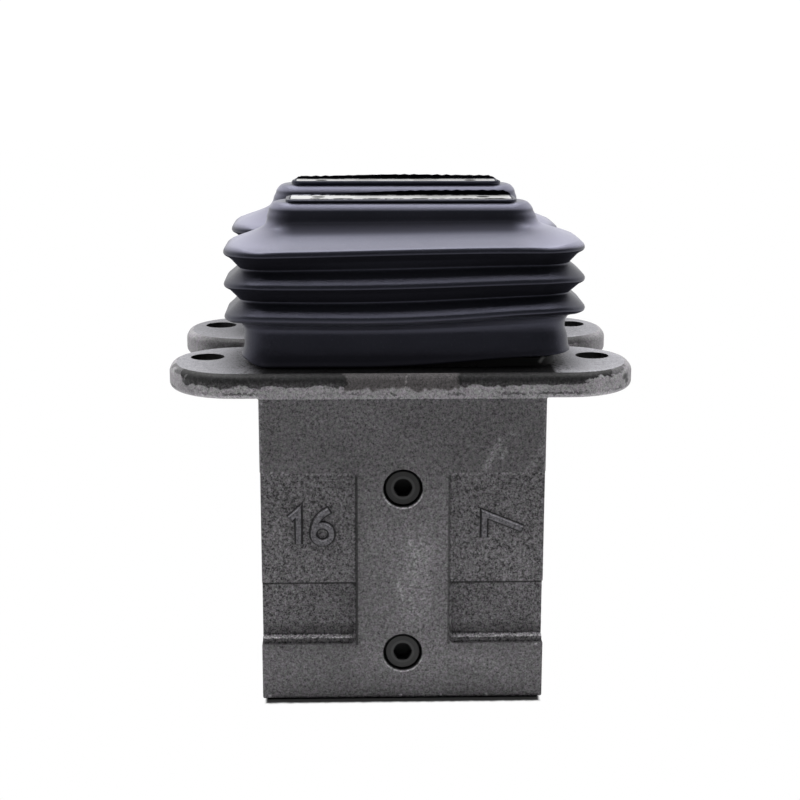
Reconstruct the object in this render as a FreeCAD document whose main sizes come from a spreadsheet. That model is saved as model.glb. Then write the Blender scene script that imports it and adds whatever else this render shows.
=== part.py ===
"""Foot pilot valve: two identical cast slices bolted face to face, each with a rocking pedal under a boot.

Frame: X to the right along a slice's width, Y from the front slice to the rear one, Z up.
Origin: on the base, midway between the two slices. Lengths are in millimetres.
Each slice is drawn about its own centre plane, Y = 0, and its Placement carries it to the front or the rear.
"""

import FreeCAD, Part
import math
import os

import Sketcher

Vector = FreeCAD.Vector

SIZES = {
    # Casting of one slice
    "slice_width": 102.7,
    "slice_depth": 66.0,
    "flange_top": 122.0,
    "flange_thickness": 9.0,
    "flange_edge_radius": 3.0,
    "ear_lower_radius": 2.4,
    "ear_hole_offset": 20.15,
    "ear_hole_radius": 6.2,
    "ear_overhang": 13.2,
    "ear_setback": 12.0,
    "ear_corner_margin": 2.0,
    "notch_margin": 5.65,
    "notch_radius": 6.0,
    "under_flange_radius": 0.6,
    "base_edge_radius": 1.1,
    # Cast pockets on the front and rear faces, and the relief of the side faces
    "pocket_inner": 17.0,
    "pocket_low": 21.1,
    "pocket_high": 86.0,
    "pocket_depth": 1.6,
    "pocket_corner_radius": 2.2,
    "deep_pocket_low": 23.4,
    "deep_pocket_high": 44.6,
    "deep_pocket_step": 2.4,
    "deep_pocket_margin": 0.7,
    "counterbore_chamfer": 0.3,
    "side_relief": 0.25,
    # Valve columns, one on each side of the pivot
    "column_offset": 25.0,
    "port_radius": 5.723,
    "port_depth": 14.0,
    "spool_radius": 4.0,
    "spool_bore_clearance": 0.03,
    "cavity_radius": 12.0,
    "cavity_floor": 62.0,
    "plug_radius": 15.0,
    "plug_length": 18.0,
    "seal_pocket_radius": 9.0,
    "seal_pocket_depth": 4.0,
    "plug_seal_width": 2.6,
    "plug_seal_depth": 1.8,
    "rod_radius": 6.0,
    "rod_clearance": 0.03,
    "seal_clearance": 0.02,
    "piston_thickness": 4.0,
    "piston_clearance": 0.1,
    "piston_drop": 7.0,
    "return_wire": 1.8,
    "return_turns": 4.5,
    "metering_wire": 1.1,
    "metering_turns": 5.0,
    "metering_radius": 5.2,
    "spring_seat_gap": 0.05,
    "spool_port_gap": 6.0,
    "spool_head_radius": 6.4,
    "spool_head_thickness": 3.0,
    "spool_head_lift": 6.0,
    "spool_groove_radius": 2.6,
    "spool_groove_length": 9.0,
    # Oil galleries along Y, and the joint between the slices
    "gallery_radius": 4.0,
    "pressure_height": 36.0,
    "tank_rise": 5.0,
    "cross_passage_radius": 3.5,
    "gallery_overrun": 6.0,
    "gallery_port_depth": 13.0,
    "gallery_seal_radius": 6.5,
    "gallery_seal_width": 1.8,
    "gallery_seal_depth": 1.5,
    # Long screws that hold the two slices together
    "tie_low_drop": 18.2,
    "tie_high_rise": 13.2,
    "tie_radius": 4.0,
    "tie_hole_clearance": 0.5,
    "tie_head_radius": 6.5,
    "tie_head_height": 8.0,
    "tie_head_recess": 1.0,
    "tie_counterbore_radius": 7.0,
    "tie_thread_length": 20.0,
    "tie_socket_width": 6.0,
    "tie_socket_depth": 4.0,
    # Cover with the pivot lugs
    "cover_height": 12.0,
    "cover_groove_low": 3.0,
    "cover_groove_width": 3.2,
    "cover_groove_depth": 1.5,
    "cover_rod_bore": 7.5,
    "lug_half_width": 9.5,
    "lug_thickness": 6.0,
    "lug_foot_radius": 2.5,
    "cover_screw_x": 44.0,
    "cover_screw_y": 10.0,
    "cover_screw_radius": 3.0,
    "cover_screw_clearance": 0.3,
    "cover_head_radius": 5.0,
    "cover_head_height": 6.0,
    "cover_head_clearance": 0.5,
    "cover_thread_length": 12.0,
    "cover_socket_width": 5.0,
    "cover_socket_depth": 3.0,
    # Pivot
    "hub_floor_clearance": 1.0,
    "pin_radius": 5.0,
    "pin_end_margin": 1.9,
    "bush_wall": 2.0,
    "bush_length": 8.0,
    "bush_clearance": 0.03,
    "circlip_thickness": 1.0,
    "circlip_width": 2.4,
    "circlip_groove_depth": 0.4,
    "circlip_play": 0.1,
    "circlip_gap": 4.0,
    # Rocker
    "hub_width": 18.4,
    "hub_radius": 10.0,
    "hub_side_clearance": 0.3,
    "arm_end_margin": 2.0,
    "arm_low": 3.0,
    "arm_high": 7.0,
    "arm_root_reach": 17.0,
    "arm_root_high": 10.0,
    "neck_width": 12.8,
    "neck_half_width": 10.0,
    "neck_flare_height": 11.0,
    "neck_radius": 5.0,
    "head_lift": 25.0,
    "head_height": 8.1,
    "head_groove_low": 4.6,
    "head_groove_width": 2.4,
    "head_groove_depth": 1.2,
    "adjuster_radius": 4.0,
    "adjuster_ball_drop": 2.0,
    "adjuster_contact_gap": 0.05,
    "adjuster_top": 14.0,
    "lock_nut_width": 13.0,
    "lock_nut_height": 5.0,
    # Pedal plate on top of the rocker
    "plate_length": 80.0,
    "plate_width": 13.4,
    "plate_thickness": 3.0,
    "plate_corner_radius": 2.0,
    "plate_screw_offset": 12.0,
    "plate_screw_radius": 2.5,
    "plate_screw_head_radius": 5.0,
    "plate_screw_length": 11.0,
    "pedal_hole_spacing": 60.0,
    "pedal_hole_radius": 2.459,
    "pedal_hole_depth": 9.0,
    # Boot: every height is above the flange
    "boot_wall": 2.2,
    "boot_fit": 0.3,
    "skirt_half_length": 58.4,
    "skirt_half_width": 21.5,
    "skirt_corner_radius": 11.5,
    "skirt_height": 12.6,
    "fold_count": 3,
    "fold_first_rise": 7.2,
    "fold_reach": 7.4,
    "fold_tip_half_height": 1.5,
    "fold_tip_rounding": 1.1,
    "fold_valley_reach": 0.9,
    "waist_half_length": 48.7,
    "waist_half_width": 11.1,
    "waist_drop": 8.1,
    "flank_rise": 8.6,
    "waist_corner_radius": 8.0,
    "shoulder_half_length": 48.3,
    "shoulder_half_width": 10.8,
    "shoulder_drop": 1.5,
    "shoulder_rounding": 1.8,
    "lip_foot_rise": 0.5,
    "lip_foot_width": 1.8,
    "lip_top_width": 0.6,
    "lip_drop": 0.4,
}


doc = FreeCAD.newDocument("FootPilotValve")
sheet = doc.addObject("Spreadsheet::Sheet", "Sizes")
for row, (alias, value) in enumerate(SIZES.items(), start=1):
    sheet.set(f"A{row}", alias)
    sheet.set(f"B{row}", repr(value))
    sheet.setAlias(f"B{row}", alias)
doc.recompute()

sub_parts = []


def size(text):
    """Value of an expression in which every size of the sheet is written with its bare alias."""
    return float(sheet.evalExpression(text))


def bound(text):
    """The same expression as other objects have to write it, with the sheet's name before each alias."""
    words = []
    word = ""
    for letter in text + " ":
        if letter.isalnum() or letter == "_":
            word += letter
            continue
        words.append("Sizes." + word if word in SIZES else word)
        words.append(letter)
        word = ""
    return "".join(words).strip()


def sub_part(thing, label):
    """Marks a finished object as the sub-part that is written under this label."""
    thing.Label = label
    sub_parts.append(thing)
    return thing


def place(thing, x="0", y="0", z="0"):
    """Binds an object's position to three expressions."""
    for axis, text in zip("xyz", (x, y, z)):
        thing.setExpression(f".Placement.Base.{axis}", bound(text))
    return thing


# Sketches and PartDesign features

def new_body(name):
    return doc.addObject("PartDesign::Body", name)


def origin_feature(body, role):
    return next(feature for feature in body.Origin.OriginFeatures if feature.Role == role)


def new_sketch(body, plane, lift="0"):
    """A sketch on one of the body's own planes; lift moves it along the plane's normal."""
    sketch = body.newObject("Sketcher::SketchObject", body.Name + "Sketch")
    sketch.AttachmentSupport = (origin_feature(body, plane), "")
    sketch.MapMode = "FlatFace"
    sketch.setExpression("AttachmentOffset.Base.z", bound(lift))
    return sketch


def pin_down(sketch, geometry, point, across, up):
    """Ties one point of a sketch to two expressions, measured from the sketch's origin."""
    for kind, text in (("DistanceX", across), ("DistanceY", up)):
        index = sketch.addConstraint(Sketcher.Constraint(kind, -1, 1, geometry, point, size(text)))
        sketch.setExpression(f"Constraints[{index}]", bound(text))


def add_outline(sketch, points):
    """A closed outline of straight edges through points given as pairs of expressions."""
    first = sketch.GeometryCount
    places = [Vector(size(across), size(up), 0) for across, up in points]
    count = len(points)
    for i in range(count):
        sketch.addGeometry(Part.LineSegment(places[i], places[(i + 1) % count]), False)
    for i in range(count):
        sketch.addConstraint(Sketcher.Constraint("Coincident", first + i, 2, first + (i + 1) % count, 1))
        pin_down(sketch, first + i, 1, *points[i])


def add_box(sketch, left, low, right, high):
    add_outline(sketch, [(left, low), (right, low), (right, high), (left, high)])


def add_circle(sketch, across, up, radius):
    centre = Vector(size(across), size(up), 0)
    index = sketch.addGeometry(Part.Circle(centre, Vector(0, 0, 1), size(radius)), False)
    pin_down(sketch, index, 3, across, up)
    limit = sketch.addConstraint(Sketcher.Constraint("Radius", index, size(radius)))
    sketch.setExpression(f"Constraints[{limit}]", bound(radius))


def add_rounded_box(sketch, half_x, half_y, radius):
    """A rectangle about the sketch's origin with round corners."""
    straight_x = f"(({half_x}) - ({radius}))"
    straight_y = f"(({half_y}) - ({radius}))"
    ends = [
        ((f"-{straight_x}", f"-({half_y})"), (straight_x, f"-({half_y})")),
        ((f"({half_x})", f"-{straight_y}"), (f"({half_x})", straight_y)),
        ((straight_x, f"({half_y})"), (f"-{straight_x}", f"({half_y})")),
        ((f"-({half_x})", straight_y), (f"-({half_x})", f"-{straight_y}")),
    ]
    centres = [(straight_x, f"-{straight_y}"), (straight_x, straight_y),
               (f"-{straight_x}", straight_y), (f"-{straight_x}", f"-{straight_y}")]
    first = sketch.GeometryCount
    for start, end in ends:
        a = Vector(size(start[0]), size(start[1]), 0)
        b = Vector(size(end[0]), size(end[1]), 0)
        line = sketch.addGeometry(Part.LineSegment(a, b), False)
        pin_down(sketch, line, 1, *start)
        pin_down(sketch, line, 2, *end)
    for corner, (across, up) in enumerate(centres):
        centre = Vector(size(across), size(up), 0)
        circle = Part.Circle(centre, Vector(0, 0, 1), size(radius))
        turn = math.radians(90 * corner - 90)
        arc = sketch.addGeometry(Part.ArcOfCircle(circle, turn, turn + math.pi / 2), False)
        sketch.addConstraint(Sketcher.Constraint("Coincident", first + corner, 2, arc, 1))
        sketch.addConstraint(Sketcher.Constraint("Coincident", arc, 2, first + (corner + 1) % 4, 1))
        index = sketch.addConstraint(Sketcher.Constraint("DistanceX", -1, 1, arc, 3, centre.x))
        sketch.setExpression(f"Constraints[{index}]", bound(across))


def pad(body, sketch, length, middle=False):
    """Adds material on the sketch's normal side, or to both sides alike."""
    feature = body.newObject("PartDesign::Pad", body.Name + "Pad")
    feature.Profile = sketch
    feature.setExpression("Length", bound(length))
    feature.SideType = "Symmetric" if middle else "One side"
    return feature


def pocket(body, sketch, length, along_normal=False, middle=False):
    """Removes material against the sketch's normal, or along it, or to both sides alike."""
    feature = body.newObject("PartDesign::Pocket", body.Name + "Pocket")
    feature.Profile = sketch
    feature.setExpression("Length", bound(length))
    feature.SideType = "Symmetric" if middle else "One side"
    feature.Reversed = along_normal
    return feature


def edges_where(feature, test):
    """Names of a feature's edges whose two ends and middle all pass a test."""
    names = []
    for number, edge in enumerate(feature.Shape.Edges, start=1):
        middle = edge.valueAt((edge.FirstParameter + edge.LastParameter) / 2)
        if all(test(point) for point in [vertex.Point for vertex in edge.Vertexes] + [middle]):
            names.append(f"Edge{number}")
    return names


def dress(body, kind, test, amount):
    """A Fillet or Chamfer of the body's tip on the edges that pass a test."""
    doc.recompute()
    base = body.Tip
    feature = body.newObject("PartDesign::" + kind, body.Name + kind)
    feature.Base = (base, edges_where(base, test))
    feature.setExpression("Radius" if kind == "Fillet" else "Size", bound(amount))
    return feature


def near(a, b):
    return abs(a - b) < 0.01


def turned(name, profile):
    """A solid of revolution about the body's Z axis, from points (radius, height)."""
    body = new_body(name)
    sketch = new_sketch(body, "XZ_Plane")
    add_outline(sketch, profile)
    feature = body.newObject("PartDesign::Revolution", name + "Turn")
    feature.Profile = sketch
    feature.ReferenceAxis = (sketch, ["V_Axis"])
    feature.Angle = 360
    return body


def group(members, label):
    """Several separate solids kept as one sub-part."""
    bundle = doc.addObject("Part::Compound", label + "_group")
    bundle.Links = members
    return sub_part(bundle, label)


def hexagon(name, width, depth):
    """A hexagonal prism standing on Z = 0, given by its width across flats."""
    prism = doc.addObject("Part::Prism", name)
    prism.Polygon = 6
    prism.setExpression("Circumradius", bound(f"({width}) / sqrt(3)"))
    prism.setExpression("Height", bound(depth))
    return prism


def cut(name, base, tool):
    result = doc.addObject("Part::Cut", name)
    result.Base = base
    result.Tool = tool
    return result


def socket_screw(name, radius, length, head_radius, head_height, socket_width, socket_depth):
    """A cap screw with its head on top and the underside of the head at Z = 0."""
    blank = turned(name + "Blank", [
        ("0", f"-({length})"), (radius, f"-({length})"), (radius, "0"),
        (head_radius, "0"), (head_radius, f"{head_height} - {radius} / 8"),
        (f"{head_radius} - {radius} / 8", head_height), ("0", head_height),
    ])
    socket = place(hexagon(name + "Socket", socket_width, socket_depth), z=f"{head_height} - {socket_depth}")
    return cut(name, blank, socket)


# Places that several pieces share

FRONT_FACE = "slice_depth / 2"
FLANGE_LOW = "(flange_top - flange_thickness)"
EAR_HOLE = "(slice_width / 2 + ear_hole_offset)"
EAR_END = "(slice_width / 2 + ear_hole_offset + ear_overhang)"
EAR_REAR = "(slice_depth / 2 - ear_setback)"
EAR_CORNER = "((slice_depth - ear_setback) / 2 - ear_corner_margin)"
NOTCH = "(slice_width / 2 + notch_margin)"
SPOOL_BORE = "(spool_radius + spool_bore_clearance)"
PLUG_LOW = "(flange_top - plug_length)"
PISTON_LOW = "(flange_top - plug_length - piston_drop - piston_thickness)"
SPOOL_HEAD_LOW = "(cavity_floor + spool_head_lift)"
COVER_HALF_LENGTH = "(skirt_half_length - boot_wall - boot_fit)"
COVER_HALF_WIDTH = "(skirt_half_width - boot_wall - boot_fit)"
COVER_RADIUS = "(skirt_corner_radius - boot_wall - boot_fit)"
COVER_TOP = "(flange_top + cover_height)"
PIN_HEIGHT = "(flange_top + cover_height + hub_floor_clearance + hub_radius)"
TANK_HEIGHT = "(cavity_floor + tank_rise)"
TIE_LOW = "(pressure_height - tie_low_drop)"
TIE_HIGH = "(cavity_floor + tank_rise + tie_high_rise)"
SPOOL_LOW = "(port_depth + spool_port_gap)"
ARM_REACH = "(column_offset + adjuster_radius + arm_end_margin)"
LUG_INNER = "(hub_width / 2 + hub_side_clearance)"
LUG_OUTER = "(hub_width / 2 + hub_side_clearance + lug_thickness)"
PIN_HALF = "(hub_width / 2 + hub_side_clearance + lug_thickness + pin_end_margin)"
ROD_TOP = f"({PIN_HEIGHT} - adjuster_ball_drop - adjuster_radius - adjuster_contact_gap)"
HEAD_TOP = "(head_lift + head_height)"
PLATE_LOW = f"({PIN_HEIGHT} + head_lift + head_height)"
PLATE_TOP = f"({PLATE_LOW} + plate_thickness)"
NECK_WAIST = "(head_lift - neck_flare_height)"
HEAD_HALF_LENGTH = "(plate_length / 2)"
HEAD_GROOVE_LOW = f"({PIN_HEIGHT} + head_lift + head_groove_low - flange_top)"
BOOT_TOP = f"({PLATE_TOP} - flange_top)"
WAIST_HEIGHT = f"({BOOT_TOP} - waist_drop)"
FIRST_TIP = "(skirt_height + fold_first_rise)"
FOLD_PITCH = f"(({WAIST_HEIGHT} - flank_rise - {FIRST_TIP}) / (fold_count - 1))"
LIP_HALF_LENGTH = "(plate_length / 2 + boot_fit)"
LIP_HALF_WIDTH = "(plate_width / 2 + boot_fit)"
LIP_RADIUS = "(plate_corner_radius + boot_fit)"
COIL_SIDES = 10
# Half the height of a coil's tilted wire section, as a share of the wire's width
COIL_TILT = 0.65
SLICES = {"front": "-slice_depth / 2", "rear": "slice_depth / 2"}
SIDES = {"left": "-column_offset", "right": "column_offset"}


def columns(body, radius, top, depth):
    """The same round hole in both valve columns, cut downwards from a height."""
    sketch = new_sketch(body, "XY_Plane", top)
    for across in SIDES.values():
        add_circle(sketch, across, "0", radius)
    pocket(body, sketch, depth)


def valve_body(slice_name):
    """One cast slice: a ribless block with a flange and two ears, bored for the valve columns."""
    body = new_body(slice_name + "Casting")
    block = new_sketch(body, "XY_Plane")
    add_box(block, "-slice_width / 2", "-slice_depth / 2", "slice_width / 2", "slice_depth / 2")
    pad(body, block, "flange_top")
    side_reliefs(body)
    face_pockets(body, FRONT_FACE, False)
    face_pockets(body, "-slice_depth / 2", True)

    flange = new_sketch(body, "XY_Plane", FLANGE_LOW)
    add_outline(flange, [
        (f"-{EAR_END}", "-slice_depth / 2"), (EAR_END, "-slice_depth / 2"),
        (EAR_END, EAR_REAR), (NOTCH, EAR_REAR),
        (NOTCH, "slice_depth / 2"), (f"-{NOTCH}", "slice_depth / 2"),
        (f"-{NOTCH}", EAR_REAR), (f"-{EAR_END}", EAR_REAR),
    ])
    pad(body, flange, "flange_thickness")
    dress_flange(body)

    ears = new_sketch(body, "XY_Plane", "flange_top")
    for sign in ("-", ""):
        add_circle(ears, f"{sign}{EAR_HOLE}", "0", "ear_hole_radius")
    pocket(body, ears, "flange_thickness")

    columns(body, "plug_radius", "flange_top", "plug_length")
    columns(body, "cavity_radius", PLUG_LOW, f"{PLUG_LOW} - cavity_floor")
    columns(body, SPOOL_BORE, "cavity_floor", "cavity_floor - port_depth")
    columns(body, "port_radius", "port_depth", "port_depth")

    crossings = new_sketch(body, "YZ_Plane")
    for height in ("pressure_height", TANK_HEIGHT):
        add_circle(crossings, "0", height, "cross_passage_radius")
    pocket(body, crossings, "2 * column_offset", middle=True)
    cover_threads(body)
    if slice_name == "front":
        front_drilling(body)
    else:
        rear_drilling(body)
    place(body, y=SLICES[slice_name])
    return sub_part(body, slice_name + "_valve_body")


def side_reliefs(body):
    """The side faces stand back a little between the machined bands."""
    sketch = new_sketch(body, "XZ_Plane")
    for left, right in (("slice_width / 2 - side_relief", "slice_width"),
                        ("-slice_width", "side_relief - slice_width / 2")):
        add_box(sketch, left, "pocket_low", right, "pocket_high")
    pocket(body, sketch, "2 * slice_depth", middle=True)


def face_pockets(body, lift, along_normal):
    """Two shallow cast pockets on a face, open to the sides, each with a deeper step low down."""
    inner = "pocket_inner + deep_pocket_margin"
    steps = (("pocket_inner", "pocket_low", "pocket_high", "pocket_depth"),
             (inner, "deep_pocket_low", "deep_pocket_high", "pocket_depth + deep_pocket_step"))
    for near_x, low, high, depth in steps:
        sketch = new_sketch(body, "XZ_Plane", lift)
        add_box(sketch, near_x, low, "slice_width", high)
        add_box(sketch, "-slice_width", low, f"-({near_x})", high)
        pocket(body, sketch, depth, along_normal)
    face = -size(lift)

    def on_corner(point, inner, heights):
        """Whether a point lies on an upright corner of this face's pockets."""
        level = any(near(point.z, size(height)) for height in heights)
        return near(abs(point.x), size(inner)) and level and point.y * face > 0

    dress(body, "Fillet", lambda p: on_corner(p, "pocket_inner", ("pocket_low", "pocket_high"))
          or on_corner(p, inner, ("deep_pocket_low", "deep_pocket_high")), "pocket_corner_radius")


def dress_flange(body):
    """Round ears, round notches, a rounded top edge, and the small radius below the flange."""
    end = size(EAR_END)
    rear = size(EAR_REAR)
    half_depth = size("slice_depth") / 2
    notch = size(NOTCH)
    top = size("flange_top")
    low = size(FLANGE_LOW)
    side = size("slice_width") / 2

    def upright(point):
        return low - 0.01 < point.z < top + 0.01

    dress(body, "Fillet", lambda p: upright(p) and near(abs(p.x), end)
          and (near(p.y, rear) or near(p.y, -half_depth)), EAR_CORNER)
    dress(body, "Fillet", lambda p: upright(p) and near(abs(p.x), notch) and near(p.y, rear), "notch_radius")
    dress(body, "Fillet", lambda p: near(p.z, low) and near(abs(p.x), side), "under_flange_radius")
    dress(body, "Fillet", lambda p: near(p.z, top), "flange_edge_radius")
    dress(body, "Fillet", lambda p: near(p.z, low) and abs(p.x) > notch - 0.01 and p.y < rear + 0.01,
          "ear_lower_radius")
    dress(body, "Fillet", lambda p: near(p.z, 0), "base_edge_radius")


def cover_threads(body):
    sketch = new_sketch(body, "XY_Plane", "flange_top")
    for across, along in cover_screw_places():
        add_circle(sketch, across, along, "cover_screw_radius")
    pocket(body, sketch, "cover_thread_length")


def cover_screw_places():
    return [(f"{a}cover_screw_x", f"{b}cover_screw_y") for a in ("-", "") for b in ("-", "")]


def front_drilling(body):
    """Blind galleries from the joint face, and clear holes with counterbores for the tie screws."""
    galleries = new_sketch(body, "XZ_Plane", "-slice_depth / 2")
    for height in ("pressure_height", TANK_HEIGHT):
        add_circle(galleries, "0", height, "gallery_radius")
    pocket(body, galleries, "slice_depth / 2 + gallery_overrun", along_normal=True)
    shanks = new_sketch(body, "XZ_Plane")
    heads = new_sketch(body, "XZ_Plane", FRONT_FACE)
    for height in (TIE_LOW, TIE_HIGH):
        add_circle(shanks, "0", height, "tie_radius + tie_hole_clearance")
        add_circle(heads, "0", height, "tie_counterbore_radius")
    pocket(body, shanks, "2 * slice_depth", middle=True)
    pocket(body, heads, "tie_head_height + tie_head_recess")
    face = -size(FRONT_FACE)
    reach = size("tie_counterbore_radius") + 0.01
    middles = (size(TIE_LOW), size(TIE_HIGH))
    dress(body, "Chamfer", lambda p: near(p.y, face) and abs(p.x) < reach
          and any(abs(p.z - middle) < reach for middle in middles), "counterbore_chamfer")


def rear_drilling(body):
    """Threads for the tie screws, galleries right through, their seals' seats and their two ports."""
    threads = new_sketch(body, "XZ_Plane", FRONT_FACE)
    galleries = new_sketch(body, "XZ_Plane")
    seats = new_sketch(body, "XZ_Plane", FRONT_FACE)
    ports = new_sketch(body, "XZ_Plane", "-slice_depth / 2")
    for height in (TIE_LOW, TIE_HIGH):
        add_circle(threads, "0", height, "tie_radius")
    for height in ("pressure_height", TANK_HEIGHT):
        add_circle(galleries, "0", height, "gallery_radius")
        add_circle(seats, "0", height, "gallery_seal_radius")
        add_circle(ports, "0", height, "port_radius")
    pocket(body, threads, "tie_thread_length")
    pocket(body, galleries, "2 * slice_depth", middle=True)
    pocket(body, seats, "gallery_seal_depth")
    pocket(body, ports, "gallery_port_depth", along_normal=True)


def tie_screws():
    """The two long screws; their heads sit sunk in the front face."""
    reach = "slice_depth - tie_head_height - tie_head_recess + tie_thread_length"
    screws = []
    for number, height in enumerate((TIE_LOW, TIE_HIGH), start=1):
        screw = socket_screw(f"TieScrew{number}", "tie_radius", reach, "tie_head_radius",
                             "tie_head_height", "tie_socket_width", "tie_socket_depth")
        screw.Placement.Rotation = FreeCAD.Rotation(Vector(1, 0, 0), 90)
        screws.append(place(screw, y="tie_head_height + tie_head_recess - slice_depth", z=height))
    group(screws, "tie_screws")


def gallery_seals():
    seals = []
    for number, height in enumerate(("pressure_height", TANK_HEIGHT), start=1):
        ring = turned(f"GallerySeal{number}", [
            ("gallery_seal_radius - gallery_seal_width", "0"), ("gallery_seal_radius", "0"),
            ("gallery_seal_radius", "gallery_seal_depth"),
            ("gallery_seal_radius - gallery_seal_width", "gallery_seal_depth"),
        ])
        ring.Placement.Rotation = FreeCAD.Rotation(Vector(1, 0, 0), -90)
        seals.append(place(ring, z=height))
    group(seals, "gallery_seals")


def cover(slice_name):
    """The plate that holds the guide plugs down, with a groove for the boot and two lugs for the pin."""
    body = new_body(slice_name + "Cover")
    plate = new_sketch(body, "XY_Plane", "flange_top")
    add_rounded_box(plate, COVER_HALF_LENGTH, COVER_HALF_WIDTH, COVER_RADIUS)
    pad(body, plate, "cover_height")

    lugs = new_sketch(body, "XZ_Plane")
    add_box(lugs, "-lug_half_width", COVER_TOP, "lug_half_width", PIN_HEIGHT)
    pad(body, lugs, f"2 * {LUG_OUTER}", middle=True)
    eyes = new_sketch(body, "XZ_Plane")
    add_circle(eyes, "0", PIN_HEIGHT, "lug_half_width")
    pad(body, eyes, f"2 * {LUG_OUTER}", middle=True)
    slot = new_sketch(body, "YZ_Plane")
    add_box(slot, f"-{LUG_INNER}", COVER_TOP, LUG_INNER, f"{PIN_HEIGHT} + 2 * lug_half_width")
    pocket(body, slot, "4 * lug_half_width", middle=True)
    pin_hole = new_sketch(body, "XZ_Plane")
    add_circle(pin_hole, "0", PIN_HEIGHT, "pin_radius")
    pocket(body, pin_hole, "2 * slice_depth", middle=True)

    groove = new_sketch(body, "XY_Plane", "flange_top + cover_groove_low + cover_groove_width")
    add_rounded_box(groove, "skirt_half_length", "skirt_half_width", "skirt_corner_radius")
    add_rounded_box(groove, f"{COVER_HALF_LENGTH} - cover_groove_depth",
                    f"{COVER_HALF_WIDTH} - cover_groove_depth", f"{COVER_RADIUS} - cover_groove_depth")
    pocket(body, groove, "cover_groove_width")

    columns(body, "cover_rod_bore", COVER_TOP, "cover_height")
    clear = new_sketch(body, "XY_Plane", COVER_TOP)
    heads = new_sketch(body, "XY_Plane", COVER_TOP)
    for across, along in cover_screw_places():
        add_circle(clear, across, along, "cover_screw_radius + cover_screw_clearance")
        add_circle(heads, across, along, "cover_head_radius + cover_head_clearance")
    pocket(body, clear, "cover_height")
    pocket(body, heads, "cover_head_height + cover_head_clearance")

    half = size("lug_half_width")
    foot = size(COVER_TOP)
    outer = size(LUG_OUTER)
    dress(body, "Fillet", lambda p: near(p.z, foot) and abs(p.x) < half + 0.01
          and near(abs(p.y), outer), "lug_foot_radius")
    place(body, y=SLICES[slice_name])
    return sub_part(body, slice_name + "_cover")


def cover_screws(slice_name):
    screws = []
    for number, (across, along) in enumerate(cover_screw_places(), start=1):
        shank = "cover_height - cover_head_height - cover_head_clearance + cover_thread_length"
        screw = socket_screw(f"{slice_name}CoverScrew{number}", "cover_screw_radius", shank,
                             "cover_head_radius", "cover_head_height", "cover_socket_width",
                             "cover_socket_depth")
        place(screw, across, f"{SLICES[slice_name]} + {along}",
              f"{COVER_TOP} - cover_head_height - cover_head_clearance")
        screws.append(screw)
    group(screws, slice_name + "_cover_screws")


def guide_plugs(slice_name):
    """Steel plugs in the tops of the columns; the push rods slide in them."""
    plugs = []
    for side, across in SIDES.items():
        plug = turned(f"{slice_name}{side}Plug", [
            ("rod_radius + rod_clearance", "0"), ("plug_radius - plug_seal_depth", "0"),
            ("plug_radius - plug_seal_depth", "plug_seal_width"),
            ("plug_radius", "plug_seal_width"), ("plug_radius", "plug_length"),
            ("seal_pocket_radius", "plug_length"), ("seal_pocket_radius", "plug_length - seal_pocket_depth"),
            ("rod_radius + rod_clearance", "plug_length - seal_pocket_depth"),
        ])
        plugs.append(place(plug, across, SLICES[slice_name], PLUG_LOW))
    group(plugs, slice_name + "_guide_plugs")


def seal_rings(slice_name, label, inner, outer, height, base):
    """One ring in each column of a slice."""
    rings = []
    for side, across in SIDES.items():
        ring = turned(f"{slice_name}{side}{label.title().replace('_', '')}",
                      [(inner, "0"), (outer, "0"), (outer, height), (inner, height)])
        rings.append(place(ring, across, SLICES[slice_name], base))
    group(rings, f"{slice_name}_{label}")


def push_rod(slice_name, side):
    """Rod with its damping piston, pushed down by the rocker and up by the return spring."""
    body = turned(f"{slice_name}{side}Rod", [
        ("0", PISTON_LOW), ("cavity_radius - piston_clearance", PISTON_LOW),
        ("cavity_radius - piston_clearance", f"{PISTON_LOW} + piston_thickness"),
        ("rod_radius", f"{PISTON_LOW} + piston_thickness"),
        ("rod_radius", f"{ROD_TOP} - rod_radius / 8"), ("rod_radius * 7 / 8", ROD_TOP), ("0", ROD_TOP),
    ])
    place(body, SIDES[side], SLICES[slice_name])
    sub_part(body, f"{slice_name}_{side}_push_rod")


def spool(slice_name, side):
    """Metering spool: it hangs by its head and slides in the casting's bore."""
    waist_low = "pressure_height - spool_groove_length / 2"
    waist_high = "pressure_height + spool_groove_length / 2"
    body = turned(f"{slice_name}{side}Spool", [
        ("0", SPOOL_LOW), ("spool_radius", SPOOL_LOW), ("spool_radius", waist_low),
        ("spool_groove_radius", waist_low), ("spool_groove_radius", waist_high),
        ("spool_radius", waist_high), ("spool_radius", SPOOL_HEAD_LOW),
        ("spool_head_radius", SPOOL_HEAD_LOW),
        ("spool_head_radius", f"{SPOOL_HEAD_LOW} + spool_head_thickness"),
        ("0", f"{SPOOL_HEAD_LOW} + spool_head_thickness"),
    ])
    place(body, SIDES[side], SLICES[slice_name])
    sub_part(body, f"{slice_name}_{side}_spool")


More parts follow.
